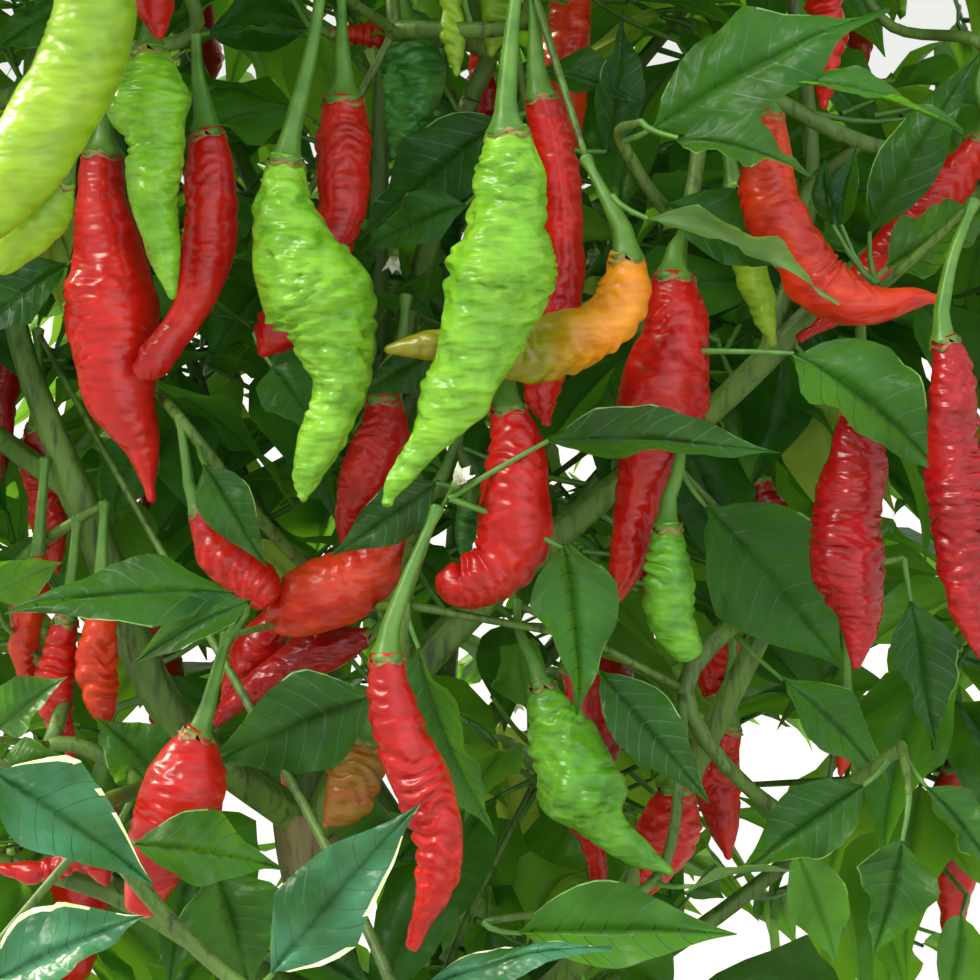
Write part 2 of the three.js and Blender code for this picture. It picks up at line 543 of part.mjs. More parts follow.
function fruitCapsules(item) {
  const points = smooth(item.line).getPoints(6);
  const half = (k) => blend(fruitShape[item.shape], (k + 0.5) / 6) * item.wide * 0.5;
  const stalk = [...item.stalk, item.line[0]];
  return [...capsulesOf(points, half), ...capsulesOf(stalk, () => fruit.stalkRadius * 1.3)];
}

function leafCapsules(item) {
  const { middle } = leafPoints(item);
  return [
    { start: item.root, end: item.from, radius: 1 },
    { start: item.from, end: middle, radius: item.wide * 0.2 },
    { start: middle, end: item.from.clone().lerp(item.to, 0.72), radius: item.wide * 0.28 },
    { start: middle, end: item.to, radius: item.wide * 0.08 },
  ];
}

// The nearest place on a mass's twigs, from which a petiole within reach can start
function nearestTwig(place, nodes) {
  let best = { reach: leaf.farthest, place: null };
  nodes.slice(2).forEach((node) => {
    between(nodes[node.from].place, node.place, 6).forEach((spotOnTwig) => {
      const reach = spotOnTwig.distanceTo(place);
      if (reach < best.reach) best = { reach, place: spotOnTwig };
    });
  });
  return best.place;
}

// A mass by the seeded rule: points apart from each other, twigs to them, and along each twig its
// leaves and often a fruit. What would leave the mass's own room, or touch something, is skipped.

function scatter(mass, random, obstacles) {
  const points = [];
  for (let k = 0; k < twig.tries && points.length < twig.most; k += 1) {
    const place = mass.middle.clone().add(spot(...twig.spread.map((span) => (random() - 0.5) * span)));
    const free = allowed(place, mass) && !touches([place], twig.room, obstacles)
      && points.every((other) => other.place.distanceTo(place) > twig.apart);
    if (free) points.push({ place });
  }
  return points;
}

function seededLeaf(start, turn, random) {
  const out = start.clone().sub(spot(...crown.middle));
  const azimuth = Math.atan2(out.y, out.x) + turn + (random() - 0.5) * leafThrow.turn;
  const rise = (out.z / crown.reach[2]) * leafThrow.rise[1] + leafThrow.rise[0]
    + (random() - 0.5) * leafThrow.riseSpread;
  const length = leaf.short + (leaf.long - leaf.short) * random();
  const droop = leafThrow.droop[0] + leafThrow.droop[1] * random();
  const roll = (random() - 0.5) * leafThrow.roll;
  const level = Math.cos(rise);
  const heading = spot(Math.cos(azimuth) * level, Math.sin(azimuth) * level, Math.sin(rise));
  const from = start.clone().addScaledVector(heading, leaf.petiole).add(spot(0, 0, leafThrow.lift));
  const to = from.clone().addScaledVector(heading, length * (1 - droop * 0.4))
    .add(spot(0, 0, -length * droop));
  const run = to.clone().sub(from).normalize();
  const face = spot(0, 0, 1).addScaledVector(run, -run.z).normalize().applyAxisAngle(run, roll);
  const root = start.clone().addScaledVector(heading, -0.1);
  return { from, to, face, root, wide: length * leaf.slim, arch: length * leafThrow.arch };
}

function seededFruit(start, random) {
  const azimuth = random() * Math.PI * 2;
  const length = fruit.short + (fruit.long - fruit.short) * random();
  const wide = fruit.wide * (fruitThrow.wide[0] + fruitThrow.wide[1] * random());
  const sway = (random() - 0.5) * fruitThrow.sway;
  const curl = (random() - 0.5) * fruitThrow.curl;
  const kind = random();
  const aside = spot(Math.cos(azimuth), Math.sin(azimuth), 0);
  const from = (out, up) => start.clone().addScaledVector(aside, out).add(spot(0, 0, up));
  const bend = from(...fruitThrow.bend);
  const top = from(fruitThrow.top, -fruit.stalk);
  const down = (share, lean) => (
    top.clone().addScaledVector(aside, length * lean).add(spot(0, 0, -length * share)));
  const line = [
    top,
    down(0.33, sway * 0.3),
    down(0.66, sway * 0.5 + curl * 0.1),
    down(0.98, sway * 0.6 + curl * 0.35),
  ];
  const shape = kind < fruitThrow.horns ? 'horn' : (kind < fruitThrow.slims ? 'slim' : 'lantern');
  return { shape, wide, line, stalk: [start.clone().addScaledVector(aside, -0.8), bend] };
}

function fruitPlaces(item) {
  return smooth(item.line).getPoints(6).flatMap((place) => [-1, 0, 1].map((way) => (
    place.clone().add(spot(way * item.wide * 0.5, way * item.wide * 0.3, 0)))));
}

function leafPlaces(item) {
  const { middle, left, right } = leafPoints(item);
  return [item.from, left, right, middle, item.to, item.from.clone().lerp(middle, 0.5),
    middle.clone().lerp(item.to, 0.33), middle.clone().lerp(item.to, 0.66),
    left.clone().lerp(item.to, 0.4), right.clone().lerp(item.to, 0.4)];
}

// The first of a few throws that fits
function firstFit(throws, throwItem, fits) {
  for (let k = 0; k < throws; k += 1) {
    const item = throwItem();
    if (fits(item)) return item;
  }
  return null;
}

function seededItems(mass, nodes, random, obstacles) {
  const fruits = [];
  const leaves = [];
  const taken = [...obstacles];
  const fits = (places, clear) => (
    places.every((place) => allowed(place, mass)) && !touches(places, clear, taken));
  nodes.slice(2).forEach((node) => {
    const on = (share) => nodes[node.from].place.clone().lerp(node.place, share);
    if (random() < fruit.often) {
      const item = firstFit(fruit.throws, () => seededFruit(on(fruitThrow.share), random),
        (thrown) => fits(fruitPlaces(thrown), fruit.clear));
      if (item) {
        fruits.push(item);
        taken.push(...fruitCapsules(item));
      }
    }
    leaf.stations.forEach((share, k) => {
      const item = firstFit(leaf.throws, () => seededLeaf(on(share), (k - 1) * leafThrow.step, random),
        (thrown) => fits(leafPlaces(thrown), leaf.clear));
      if (item) {
        leaves.push(item);
        taken.push(...leafCapsules(item).slice(1));
      }
    });
  });
  return { fruits, leaves };
}

// One body: pieces fused, any loose scrap dropped and any sealed hollow filled

function largestBody(solid) {
  return solid.decompose().reduce((best, next) => (next.volume() > best.volume() ? next : best));
}

function toGeometry(solid) {
  const mesh = solid.getMesh();
  const geometry = new THREE.BufferGeometry();
  geometry.setAttribute('position', new THREE.BufferAttribute(mesh.vertProperties, mesh.numProp));
  geometry.setIndex(new THREE.BufferAttribute(mesh.triVerts, 1));
  return geometry;
}

// Points closer than the seam become one, which can part a body once more
function oneBody(solid) {
  let body = largestBody(solid.simplify(0.01));
  for (let k = 0; k < 3; k += 1) body = largestBody(toSolid(toGeometry(body)));
  return toGeometry(body);
}

// The plant

const plant = new THREE.Group();

function addNode(name, geometry, shade, roughness) {
  geometry.computeVertexNormals();
  const material = new THREE.MeshStandardMaterial({ color: shade, roughness, metalness: 0 });
  const mesh = new THREE.Mesh(geometry, material);
  mesh.name = name;
  plant.add(mesh);
}

const limbs = new Map();
const grownLimbs = [];
const made = [];
limbPlan.forEach((plan) => {
  const parent = limbs.get(plan.parent);
  const line = parent ? [parent.curve.getPoint(plan.share), ...plan.line] : plan.line;
  const curve = smooth(line);
  const thick = plan.radii[0][1] > limbSides.thickFrom;
  const sides = parent ? (thick ? limbSides.thick : limbSides.thin) : limbSides.stem;
  const steps = parent ? line.length + (thick ? 2 : 0) : 10;
  let solid = tube(limbRows(curve, plan, steps, 0), sides);
  if (parent) solid = solid.subtract(Manifold.union(grownLimbs));
  else solid = solid.trimByPlane([0, 0, 1], 0);
  const tip = curve.getPoint(1);
  const heading = curve.getTangent(1);
  const tipRadius = plan.radii.at(-1)[1];
  const collar = [-1, gap].map((reach) => (
    { place: tip.clone().addScaledVector(heading, reach), half: tipRadius }));
  grownLimbs.push(tube(limbRows(curve, plan, steps, gap), sides), tube(collar, sides));
  const capsules = capsulesOf(curve.getPoints(steps), (k) => blend(plan.radii, (k + 0.5) / steps) + 0.4);
  limbs.set(plan.name, { curve, tip, heading, capsules, tipRadius });
  const limb = oneBody(solid);
  made.push(toSolid(limb.clone()));
  addNode(plan.name, limb, parent ? colour.bough : colour.stem, 0.75);
});
const limbCapsules = [...limbs.values()].flatMap((limb) => limb.capsules);

const obstacles = [...limbCapsules];
const front = new Map(Object.keys(sprayBough).map((name) => [name, frontItems(name)]));
front.forEach(({ fruits, leaves }) => {
  fruits.forEach((item) => obstacles.push(...fruitCapsules(item)));
  leaves.forEach((item) => obstacles.push(...leafCapsules(item)));
});

function massStart(boughName) {
  const { tip, heading, tipRadius } = limbs.get(boughName);
  return { start: tip.clone().addScaledVector(heading, gap), heading, limit: tipRadius };
}

// A leaf or fruit that would touch a solid made before it is skipped
function fuse(name, nodes, items, limit, fruitSides) {
  const pods = items.fruits.map((item) => fruitSolid(item, fruitSides));
  const pieces = [...items.leaves.map(leafSolid), ...pods];
  const clear = pieces.filter((piece) => made.every((other) => piece.minGap(other, gap) >= gap));
  const mass = oneBody(Manifold.union([...twigSolids(nodes, limit), ...clear]));
  made.push(toSolid(mass.clone()));
  addNode(name, mass, colour.foliage, 0.5);
}

// What the front sprays made so far take up
const grownTwigs = [];
const grownItems = [];

// Front sprays: twigs to every stalk, with a knuckle half way back to the bough where it is far,
// and each leaf on the nearest twig or on one of its own
front.forEach((items, name) => {
  const { start, heading, limit } = massStart(sprayBough[name]);
  const random = dice(name.length * 7);
  const blocked = (from, to) => touches(between(from, to, 8), limit + twig.clear, limbCapsules)
    || touches(between(from, to, 8), twig.apartFrom, [...grownTwigs, ...grownItems]);
  const stalks = items.fruits.map((item) => ({ place: item.stalk[0] }));
  const knuckles = stalks.filter((end) => end.place.distanceTo(start) > twig.far).map((end) => ({
    place: start.clone().lerp(end.place, 0.5).add(spot(
      (random() - 0.5) * knuckle.sway,
      (1 + random()) * knuckle.back,
      (random() - 0.5) * knuckle.sway,
    )),
  }));
  const bare = growTwigs(start, heading, [...stalks, ...knuckles], blocked);
  const lone = [];
  items.leaves.forEach((item) => {
    const place = nearestTwig(item.from, bare);
    if (place) item.root = place;
    else lone.push({ place: item.root });
  });
  const nodes = growTwigs(start, heading, [...stalks, ...knuckles, ...lone], blocked);
  nodes.slice(1).forEach((node) => {
    const radius = Math.max(node.radius * 1.2, twig.least);
    grownTwigs.push({ start: nodes[node.from].place, end: node.place, radius });
  });
  grownItems.push(...items.fruits.flatMap(fruitCapsules), ...items.leaves.flatMap(leafCapsules));
  fuse(name, nodes, items, limit, fruit.sides);
});

obstacles.push(...grownTwigs);

massPlan.forEach((mass) => {
  const { start, heading, limit } = massStart(mass.bough);
  const random = dice(mass.seed);
  const blocked = (from, to) => touches(between(from, to, 8), limit + twig.clear, obstacles)
    || between(from, to, 3).some(inFront);
  const nodes = growTwigs(start, heading, scatter(mass, random, obstacles), blocked);
  fuse(mass.name, nodes, seededItems(mass, nodes, random, obstacles), limit, fruit.farSides);
});

export default plant;
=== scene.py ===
import math
import bpy
import numpy as np
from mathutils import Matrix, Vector


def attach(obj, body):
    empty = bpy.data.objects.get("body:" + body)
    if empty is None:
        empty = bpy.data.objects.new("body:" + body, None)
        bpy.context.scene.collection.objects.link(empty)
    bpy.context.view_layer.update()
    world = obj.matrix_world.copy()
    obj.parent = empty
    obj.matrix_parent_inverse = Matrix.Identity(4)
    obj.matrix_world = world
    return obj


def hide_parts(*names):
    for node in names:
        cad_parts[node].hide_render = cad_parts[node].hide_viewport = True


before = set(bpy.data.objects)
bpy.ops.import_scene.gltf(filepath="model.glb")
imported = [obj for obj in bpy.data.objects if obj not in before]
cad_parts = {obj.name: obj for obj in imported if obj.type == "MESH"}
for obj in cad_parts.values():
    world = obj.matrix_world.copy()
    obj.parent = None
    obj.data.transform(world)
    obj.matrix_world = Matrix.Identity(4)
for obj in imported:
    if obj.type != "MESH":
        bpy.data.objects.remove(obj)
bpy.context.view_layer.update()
print("stage: frame loaded")

metre = 0.001  # everything below is laid out in millimetres and turned to metres in makePiece

# where the photo was taken from, and the upright plane through the aim that places are read on
eye = {"aim": (20, -45, 480), "away": 780, "down": 6, "frameWidth": 294, "sensor": 36}
# growth stays in an ellipsoid over the floor; wall is half the gap that two masses keep
crown = {"middle": (10, 25, 560), "reach": (285, 215, 340), "floor": 214, "wall": 1.2}
frontPlace = {"half": 156, "depth": -12}  # the room of the front sprays, which the seeded growth leaves free
gap = 0.3  # between a bough's tip and the stem of its mass

aim = np.array(eye["aim"], float)
down = math.radians(eye["down"])
lineOfSight = np.array([0, math.cos(down), -math.sin(down)])
seenUp = np.array([0, math.sin(down), math.cos(down)])
eyePlace = aim - lineOfSight * eye["away"]
crownMiddle = np.array(crown["middle"], float)
crownReach = np.array(crown["reach"], float)


def spot(x, y, z):
    return np.array([x, y, z], float)


def unit(v):
    return v / np.linalg.norm(v)


def shrink(near):
    return (eye["away"] - near) / eye["away"]


# a place read off the photo: mm across and up at the aim's plane, then mm nearer to the eye
def at(across, height, near):
    scale = shrink(near)
    return (eyePlace + lineOfSight * (eye["away"] - near) + spot((across - aim[0]) * scale, 0, 0)
            + seenUp * (height - aim[2]) * scale)


def inFront(places):
    away = places - aim
    near = -away @ lineOfSight
    aside = np.maximum(np.abs(away[:, 0]), np.abs(away @ seenUp)) / shrink(near)
    return (near > frontPlace["depth"]) & (aside < frontPlace["half"])


# even random numbers, the same as the source's
def dice(start):
    seed = start

    def roll():
        nonlocal seed
        seed = (seed * 1664525 + 1013904223) % 4294967296
        return seed / 4294967296
    return roll


# a throw between the first value and the first plus the second, and one up to half a span either way
def upTo(pair, roll):
    return pair[0] + pair[1] * roll()


def eitherWay(span, roll):
    return (roll() - 0.5) * span


def direction(azimuth, rise):
    return spot(math.cos(azimuth) * math.cos(rise), math.sin(azimuth) * math.cos(rise), math.sin(rise))


def blend(pairs, t):
    return np.interp(t, [p[0] for p in pairs], [p[1] for p in pairs])


# a smooth line through places, read at shares of its length
def along(points, shares):
    pts = np.vstack([2 * points[0] - points[1], points, 2 * points[-1] - points[-2]])
    where = np.clip(np.asarray(shares, float), 0, 1) * (len(points) - 1)
    k = np.minimum(where.astype(int), len(points) - 2)
    w = (where - k)[:, None]
    p0, p1, p2, p3 = (pts[k + i] for i in range(4))
    t0, t1 = (p2 - p0) / 2, (p3 - p1) / 2
    return (2 * p1 - 2 * p2 + t0 + t1) * w ** 3 + (3 * p2 - 3 * p1 - 2 * t0 - t1) * w ** 2 + t0 * w + p1


# the stem and its boughs: parent, share of the parent's length, radii by share, line
limbs = {
    "main_stem": (None, 0, [(0, 20), (0.04, 14.5), (0.14, 12.4), (0.6, 10.8), (1, 9)],
                  [(0, 0, -2), (-3, 1, 60), (-12, 3, 150), (-26, 4, 270), (-40, 2, 372)]),
    "bough_left": ("main_stem", 0.985, [(0, 7.6), (0.35, 7), (0.7, 5), (1, 3.4)],
                   [at(-75, 412, -22), at(-97, 463, -4), at(-109, 492, 0), at(-121, 525, -4),
                    at(-133, 580, -12)]),
    "bough_right": ("main_stem", 0.97, [(0, 6.6), (0.4, 4.8), (0.8, 3.2), (1, 2.6)],
                    [at(-12, 414, -34), at(20, 449, -32), at(53, 477, -30), at(88, 505, -12), at(134, 550, 0),
                     at(158, 566, -4)]),
    "bough_centre": ("main_stem", 0.985, [(0, 6.4), (0.5, 4.6), (1, 3)],
                     [(-36, 14, 410), (-24, 20, 462), (-6, 14, 530), (14, -4, 598)]),
    "bough_centre_front": ("bough_centre", 0.42, [(0, 3.6), (1, 2.5)], [at(-24, 462, -30), at(-14, 481, -6)]),
    "bough_right_low": ("main_stem", 0.66, [(0, 5.6), (0.6, 4.6), (1, 3.4)],
                        [(10, -2, 284), at(53, 345, -22), at(81, 397, -8), at(102, 438, 2)]),
    "bough_left_low": ("main_stem", 0.84, [(0, 4.2), (1, 2.4)],
                       [at(-60, 340, -8), at(-92, 358, 10), at(-124, 368, 30)]),
    "bough_back": ("main_stem", 0.5, [(0, 6.6), (0.5, 5), (1, 3)],
                   [(-14, 44, 250), (-4, 94, 330), (6, 128, 420), (12, 146, 520)]),
    "bough_top_left": ("bough_left", 0.86, [(0, 3), (1, 2)], [(-116, -22, 620), (-104, -26, 668)]),
    "bough_outer_left": ("bough_left", 0.5, [(0, 4), (1, 2.4)], [(-134, -22, 496), (-168, -6, 524)]),
    "bough_low_left": ("main_stem", 0.76, [(0, 4.4), (1, 2.4)], [(-70, 26, 318), (-128, 36, 352)]),
    "bough_outer_right": ("bough_right", 0.9, [(0, 2.4), (1, 1.9)], [(168, -24, 560), (192, -10, 582)]),
    "bough_low_right": ("bough_right_low", 0.3, [(0, 3.8), (1, 2.2)], [(80, 16, 322), (142, 22, 368)]),
    "bough_top_right": ("bough_right", 0.72, [(0, 2.8), (1, 2)],
                        [(118, -22, 570), (112, -18, 630), (104, -24, 672)]),
    "bough_top": ("bough_centre", 0.62, [(0, 3.6), (1, 2.2)], [(-16, 40, 590), (-8, 34, 680), (4, 22, 748)]),
    "bough_back_top_left": ("bough_centre", 0.5, [(0, 3.8), (1, 2.2)], [(-46, 52, 540), (-84, 92, 620)]),
    "bough_back_top_right": ("bough_centre", 0.56, [(0, 3.6), (1, 2.2)], [(30, 52, 562), (88, 94, 634)]),
    "bough_back_left": ("bough_back", 0.5, [(0, 4.2), (1, 2.4)], [(-46, 112, 390), (-92, 132, 430)]),
    "bough_back_right": ("bough_back", 0.58, [(0, 4), (1, 2.4)], [(52, 122, 412), (100, 134, 448)]),
    "bough_back_low": ("bough_back", 0.34, [(0, 4), (1, 2.4)], [(8, 104, 306), (20, 140, 322)]),
    "bough_front_low": ("main_stem", 0.52, [(0, 4), (1, 2.4)], [(-4, -24, 232), (12, -56, 262)]),
    "bough_inner_left": ("bough_centre", 0.3, [(0, 3.6), (1, 2.2)], [(-56, 36, 462), (-70, 42, 492)]),
    "bough_inner_right": ("bough_right", 0.42, [(0, 3), (1, 2)], [(56, 6, 480), (78, 26, 502)]),
}

# masses grown by the seeded rule: bough, middle, seed
masses = {
    "foliage_top_left": ("bough_top_left", (-100, -50, 745), 11),
    "foliage_top_right": ("bough_top_right", (110, -50, 750), 12),
    "foliage_top": ("bough_top", (8, 30, 830), 13),
    "foliage_back_top_left": ("bough_back_top_left", (-115, 120, 690), 14),
    "foliage_back_top_right": ("bough_back_top_right", (125, 120, 700), 15),
    "foliage_outer_left": ("bough_outer_left", (-212, -8, 560), 16),
    "foliage_outer_right": ("bough_outer_right", (236, -8, 585), 17),
    "foliage_back_left": ("bough_back_left", (-140, 145, 470), 18),
    "foliage_back_right": ("bough_back_right", (155, 145, 490), 19),
    "foliage_back": ("bough_back", (10, 185, 590), 20),
    "foliage_back_low": ("bough_back_low", (20, 160, 335), 21),
    "foliage_low_left": ("bough_low_left", (-180, 30, 375), 22),
    "foliage_low_right": ("bough_low_right", (195, 25, 390), 43),
    "foliage_front_low": ("bough_front_low", (20, -85, 285), 24),
    "foliage_inner_left": ("bough_inner_left", (-75, 45, 535), 25),
    "foliage_inner_right": ("bough_inner_right", (95, 50, 520), 46),
}

# fruit of the front sprays: shape, colour, width, how far forward, line from calyx to tip, stalk's start
frontFruit = {
    "spray_left_top": [
        ("horn", "pale", 30, 104, [(-84, 656), (-95, 628), (-109, 597), (-126, 566)], None),
        ("horn", "pale", 18, 84, [(-112, 580), (-124, 556), (-137, 540)], None),
        ("slim", "red", 14, 80, [(-75, 662), (-78, 640), (-81, 613)], None),
        ("horn", "red", 29, 38, [(-96, 583), (-95, 562), (-93, 537), (-89, 507), (-81, 475)], None),
        ("horn", "green", 23, 68, [(-79, 617), (-83, 592), (-81, 566), (-76, 536)], None),
        ("slim", "red", 16, 52, [(-66, 588), (-62, 567), (-66, 545), (-75, 527), (-88, 513)], None),
    ],
    "spray_centre_top": [
        ("lantern", "green", 35, 74, [(-38, 584), (-41, 568), (-38, 556), (-30, 536), (-28, 505), (-37, 475)],
         (-29, 642)),
        ("slim", "red", 16, 38, [(-24, 600), (-23, 582), (-29, 558), (-40, 536), (-48, 522)], None),
        ("lantern", "green", 33, 104, [(24, 591), (26, 570), (23, 549), (16, 525), (7, 498), (-13, 473)],
         (31, 650)),
        ("slim", "red", 16, 46, [(35, 602), (39, 578), (42, 556), (38, 530), (36, 497)], None),
        ("hook", "ripening", 18, 76, [(61, 554), (66, 540), (57, 528), (44, 522), (22, 521), (-10, 522)],
         (49, 579)),
        ("horn", "unripe", 19, 2, [(-6, 620), (-3, 604), (-5, 591), (-9, 579)], None),
        ("slim", "pale", 8, 18, [(8, 642), (8, 622), (10, 604)], None),
        ("slim", "pale", 11, 12, [(22, 644), (22, 626), (20, 610)], None),
        ("slim", "red", 6, -24, [(-28, 617), (-10, 616), (4, 614)], None),
    ],
    "spray_centre": [
        ("hook", "red", 19, 64, [(26, 508), (29, 492), (28, 474), (22, 455), (11, 446), (6, 456)], (27, 524)),
        ("slim", "red", 19, 22, [(-9, 509), (-14, 490), (-22, 470)], None),
        ("horn", "turning", 27, 42, [(-2, 472), (-16, 462), (-32, 451), (-50, 448)], None),
        ("slim", "red", 13, 50, [(-67, 473), (-62, 463), (-53, 454), (-44, 446)], None),
        ("horn", "deep", 19, 22, [(-20, 438), (-35, 429), (-49, 420), (-62, 411)], (-10, 448)),
        ("lantern", "red", 26, 80, [(-66, 408), (-68, 393), (-77, 372), (-86, 352)], (-59, 436)),
        ("slim", "red", 19, 92, [(-10, 434), (-9, 417), (0, 392), (5, 367), (-4, 340)], (4, 474)),
        ("slim", "olive", 15, 2, [(-17, 406), (-22, 391), (-30, 379)], None),
        ("slim", "unripe", 7, 46, [(14, 478), (13, 469), (12, 459)], (15, 484)),
    ],
    "spray_right_top": [
        ("horn", "red", 27, 52, [(77, 546), (75, 526), (73, 505), (68, 478), (61, 455), (52, 438)],
         (78, 562)),
        ("hook", "turning", 21, 66, [(102, 598), (102, 576), (109, 556), (121, 541), (138, 536), (158, 536)],
         (104, 616)),
        ("slim", "red", 12, 22, [(119, 640), (121, 616), (120, 594)], None),
        ("slim", "red", 15, 14, [(162, 586), (150, 567), (136, 548)], None),
        ("horn", "deep", 22, 52, [(131, 506), (130, 486), (128, 459), (129, 441), (132, 425)], None),
        ("horn", "deep", 18, 82, [(154, 530), (156, 502), (159, 471), (163, 447), (169, 428)], (165, 566)),
        ("slim", "pale", 11, 30, [(93, 572), (98, 546), (105, 523)], None),
        ("slim", "young", 14, 66, [(75, 470), (72, 453), (75, 441), (80, 426)], None),
    ],
    "spray_right_low": [
        ("lantern", "young", 29, 54, [(32, 426), (41, 408), (49, 391), (60, 376), (78, 363)], (28, 446)),
        ("horn", "red", 19, 20, [(76, 391), (73, 375), (65, 356)], None),
        ("slim", "red", 14, -26, [(91, 410), (88, 392), (92, 369)], None),
        ("slim", "red", 12, -34, [(92, 437), (88, 426), (84, 418)], None),
        ("slim", "turning", 8, -30, [(127, 418), (127, 406), (125, 394)], None),
    ],
    "spray_left_low": [
        ("slim", "red", 13, -22, [(-115, 500), (-113, 478), (-110, 455)], None),
        ("slim", "red", 11, 18, [(-107, 442), (-111, 420), (-105, 398)], None),
        ("slim", "turning", 12, 26, [(-97, 446), (-98, 425), (-95, 408)], None),
        ("slim", "turning", 10, 8, [(-116, 460), (-119, 438), (-117, 416)], None),
        ("slim", "red", 7, 44, [(-100, 371), (-114, 366), (-130, 367)], None),
        ("slim", "red", 8, 34, [(-104, 376), (-99, 369), (-95, 361)], None),
    ],
}

# front fruit with an outline of their own: place across and up and half the width there, mm
frontTrace = {
    "spray_left_top": {
        0: [(-95, 654, 6), (-99, 636, 11), (-101, 618, 13), (-107, 601, 13), (-116, 585, 13), (-126, 570, 11),
            (-134, 556, 5), (-138, 546, 1)],
        1: [(-108, 574, 4), (-114, 563, 8), (-124, 553, 7), (-133, 547, 4), (-137, 542, 1)],
        2: [(-76, 660, 5), (-79, 643, 7), (-80, 628, 7), (-79, 615, 1)],
        3: [(-96, 582, 6), (-96, 567, 8), (-94, 551, 11), (-94, 537, 14), (-93, 521, 13), (-91, 506, 10),
            (-84, 491, 5), (-81, 476, 0)],
        4: [(-82, 613, 5), (-82, 598, 12), (-80, 583, 9), (-81, 568, 7), (-78, 552, 5), (-75, 537, 1)],
        5: [(-65, 588, 5), (-64, 573, 8), (-64, 559, 8), (-66, 544, 7), (-72, 531, 5), (-81, 519, 5),
            (-87, 515, 2)],
    },
    "spray_centre_top": {
        0: [(-41, 580, 5), (-41, 565, 9), (-37, 551, 13), (-30, 537, 16), (-27, 523, 12), (-25, 509, 8),
            (-29, 496, 7), (-35, 483, 4), (-37, 477, 0)],
        1: [(-24, 598, 6), (-24, 579, 8), (-26, 561, 7), (-35, 544, 7), (-44, 528, 7), (-49, 520, 1)],
        2: [(25, 589, 6), (26, 575, 10), (25, 560, 12), (23, 546, 15), (19, 532, 13), (14, 519, 11),
            (8, 506, 10), (1, 493, 5), (-8, 481, 3), (-11, 475, 0)],
        3: [(35, 599, 5), (39, 581, 6), (42, 563, 6), (43, 545, 6), (39, 526, 6), (36, 508, 5), (37, 499, 0)],
        4: [(61, 551, 5), (61, 540, 8), (54, 530, 8), (43, 525, 10), (30, 522, 9), (17, 523, 7), (3, 524, 5),
            (-12, 522, 1)],
    },
    "spray_centre": {
        0: [(25, 506, 5), (28, 493, 8), (27, 480, 10), (27, 467, 11), (21, 456, 9), (10, 452, 7),
            (7, 457, 3)],
        1: [(-12, 508, 5), (-12, 495, 8), (-17, 483, 8), (-21, 471, 5), (-23, 459, 1)],
        2: [(-4, 471, 4), (-14, 459, 9), (-27, 450, 11), (-41, 445, 9), (-47, 446, 4)],
        3: [(-68, 475, 3), (-61, 461, 7), (-50, 451, 7), (-45, 446, 4)],
        4: [(-15, 437, 2), (-30, 432, 7), (-45, 424, 5), (-58, 415, 3), (-63, 409, 1)],
        5: [(-67, 408, 4), (-70, 394, 12), (-75, 380, 12), (-81, 366, 9), (-86, 352, 4)],
        6: [(-11, 431, 5), (-9, 417, 7), (-5, 403, 8), (0, 390, 9), (4, 376, 7), (4, 362, 6), (-1, 349, 3),
            (-4, 342, 2)],
        9: [(-41, 445, 4), (-51, 430, 7), (-58, 418, 3), (-60, 414, 0)],
    },
    "spray_right_top": {
        0: [(75, 545, 6), (75, 527, 10), (72, 510, 13), (69, 492, 10), (64, 475, 7), (60, 457, 5),
            (53, 440, 0)],
        1: [(102, 594, 6), (103, 579, 8), (105, 565, 9), (113, 552, 9), (121, 541, 9), (135, 536, 6),
            (149, 538, 3), (156, 537, 0)],
        3: [(168, 585, 4), (153, 567, 8), (137, 548, 6), (122, 532, 3), (112, 525, 0)],
        4: [(131, 504, 5), (130, 488, 9), (127, 473, 10), (127, 457, 11), (131, 442, 7), (130, 426, 1)],
        5: [(156, 526, 4), (159, 510, 7), (159, 494, 8), (161, 477, 10), (161, 461, 8), (164, 445, 6),
            (168, 429, 1)],
        7: [(73, 470, 4), (74, 456, 7), (75, 442, 7), (81, 429, 4)],
    },
    "spray_right_low": {
        0: [(35, 423, 3), (39, 411, 8), (44, 399, 11), (49, 388, 13), (55, 379, 7), (65, 371, 4),
            (75, 365, 1)],
    },
}

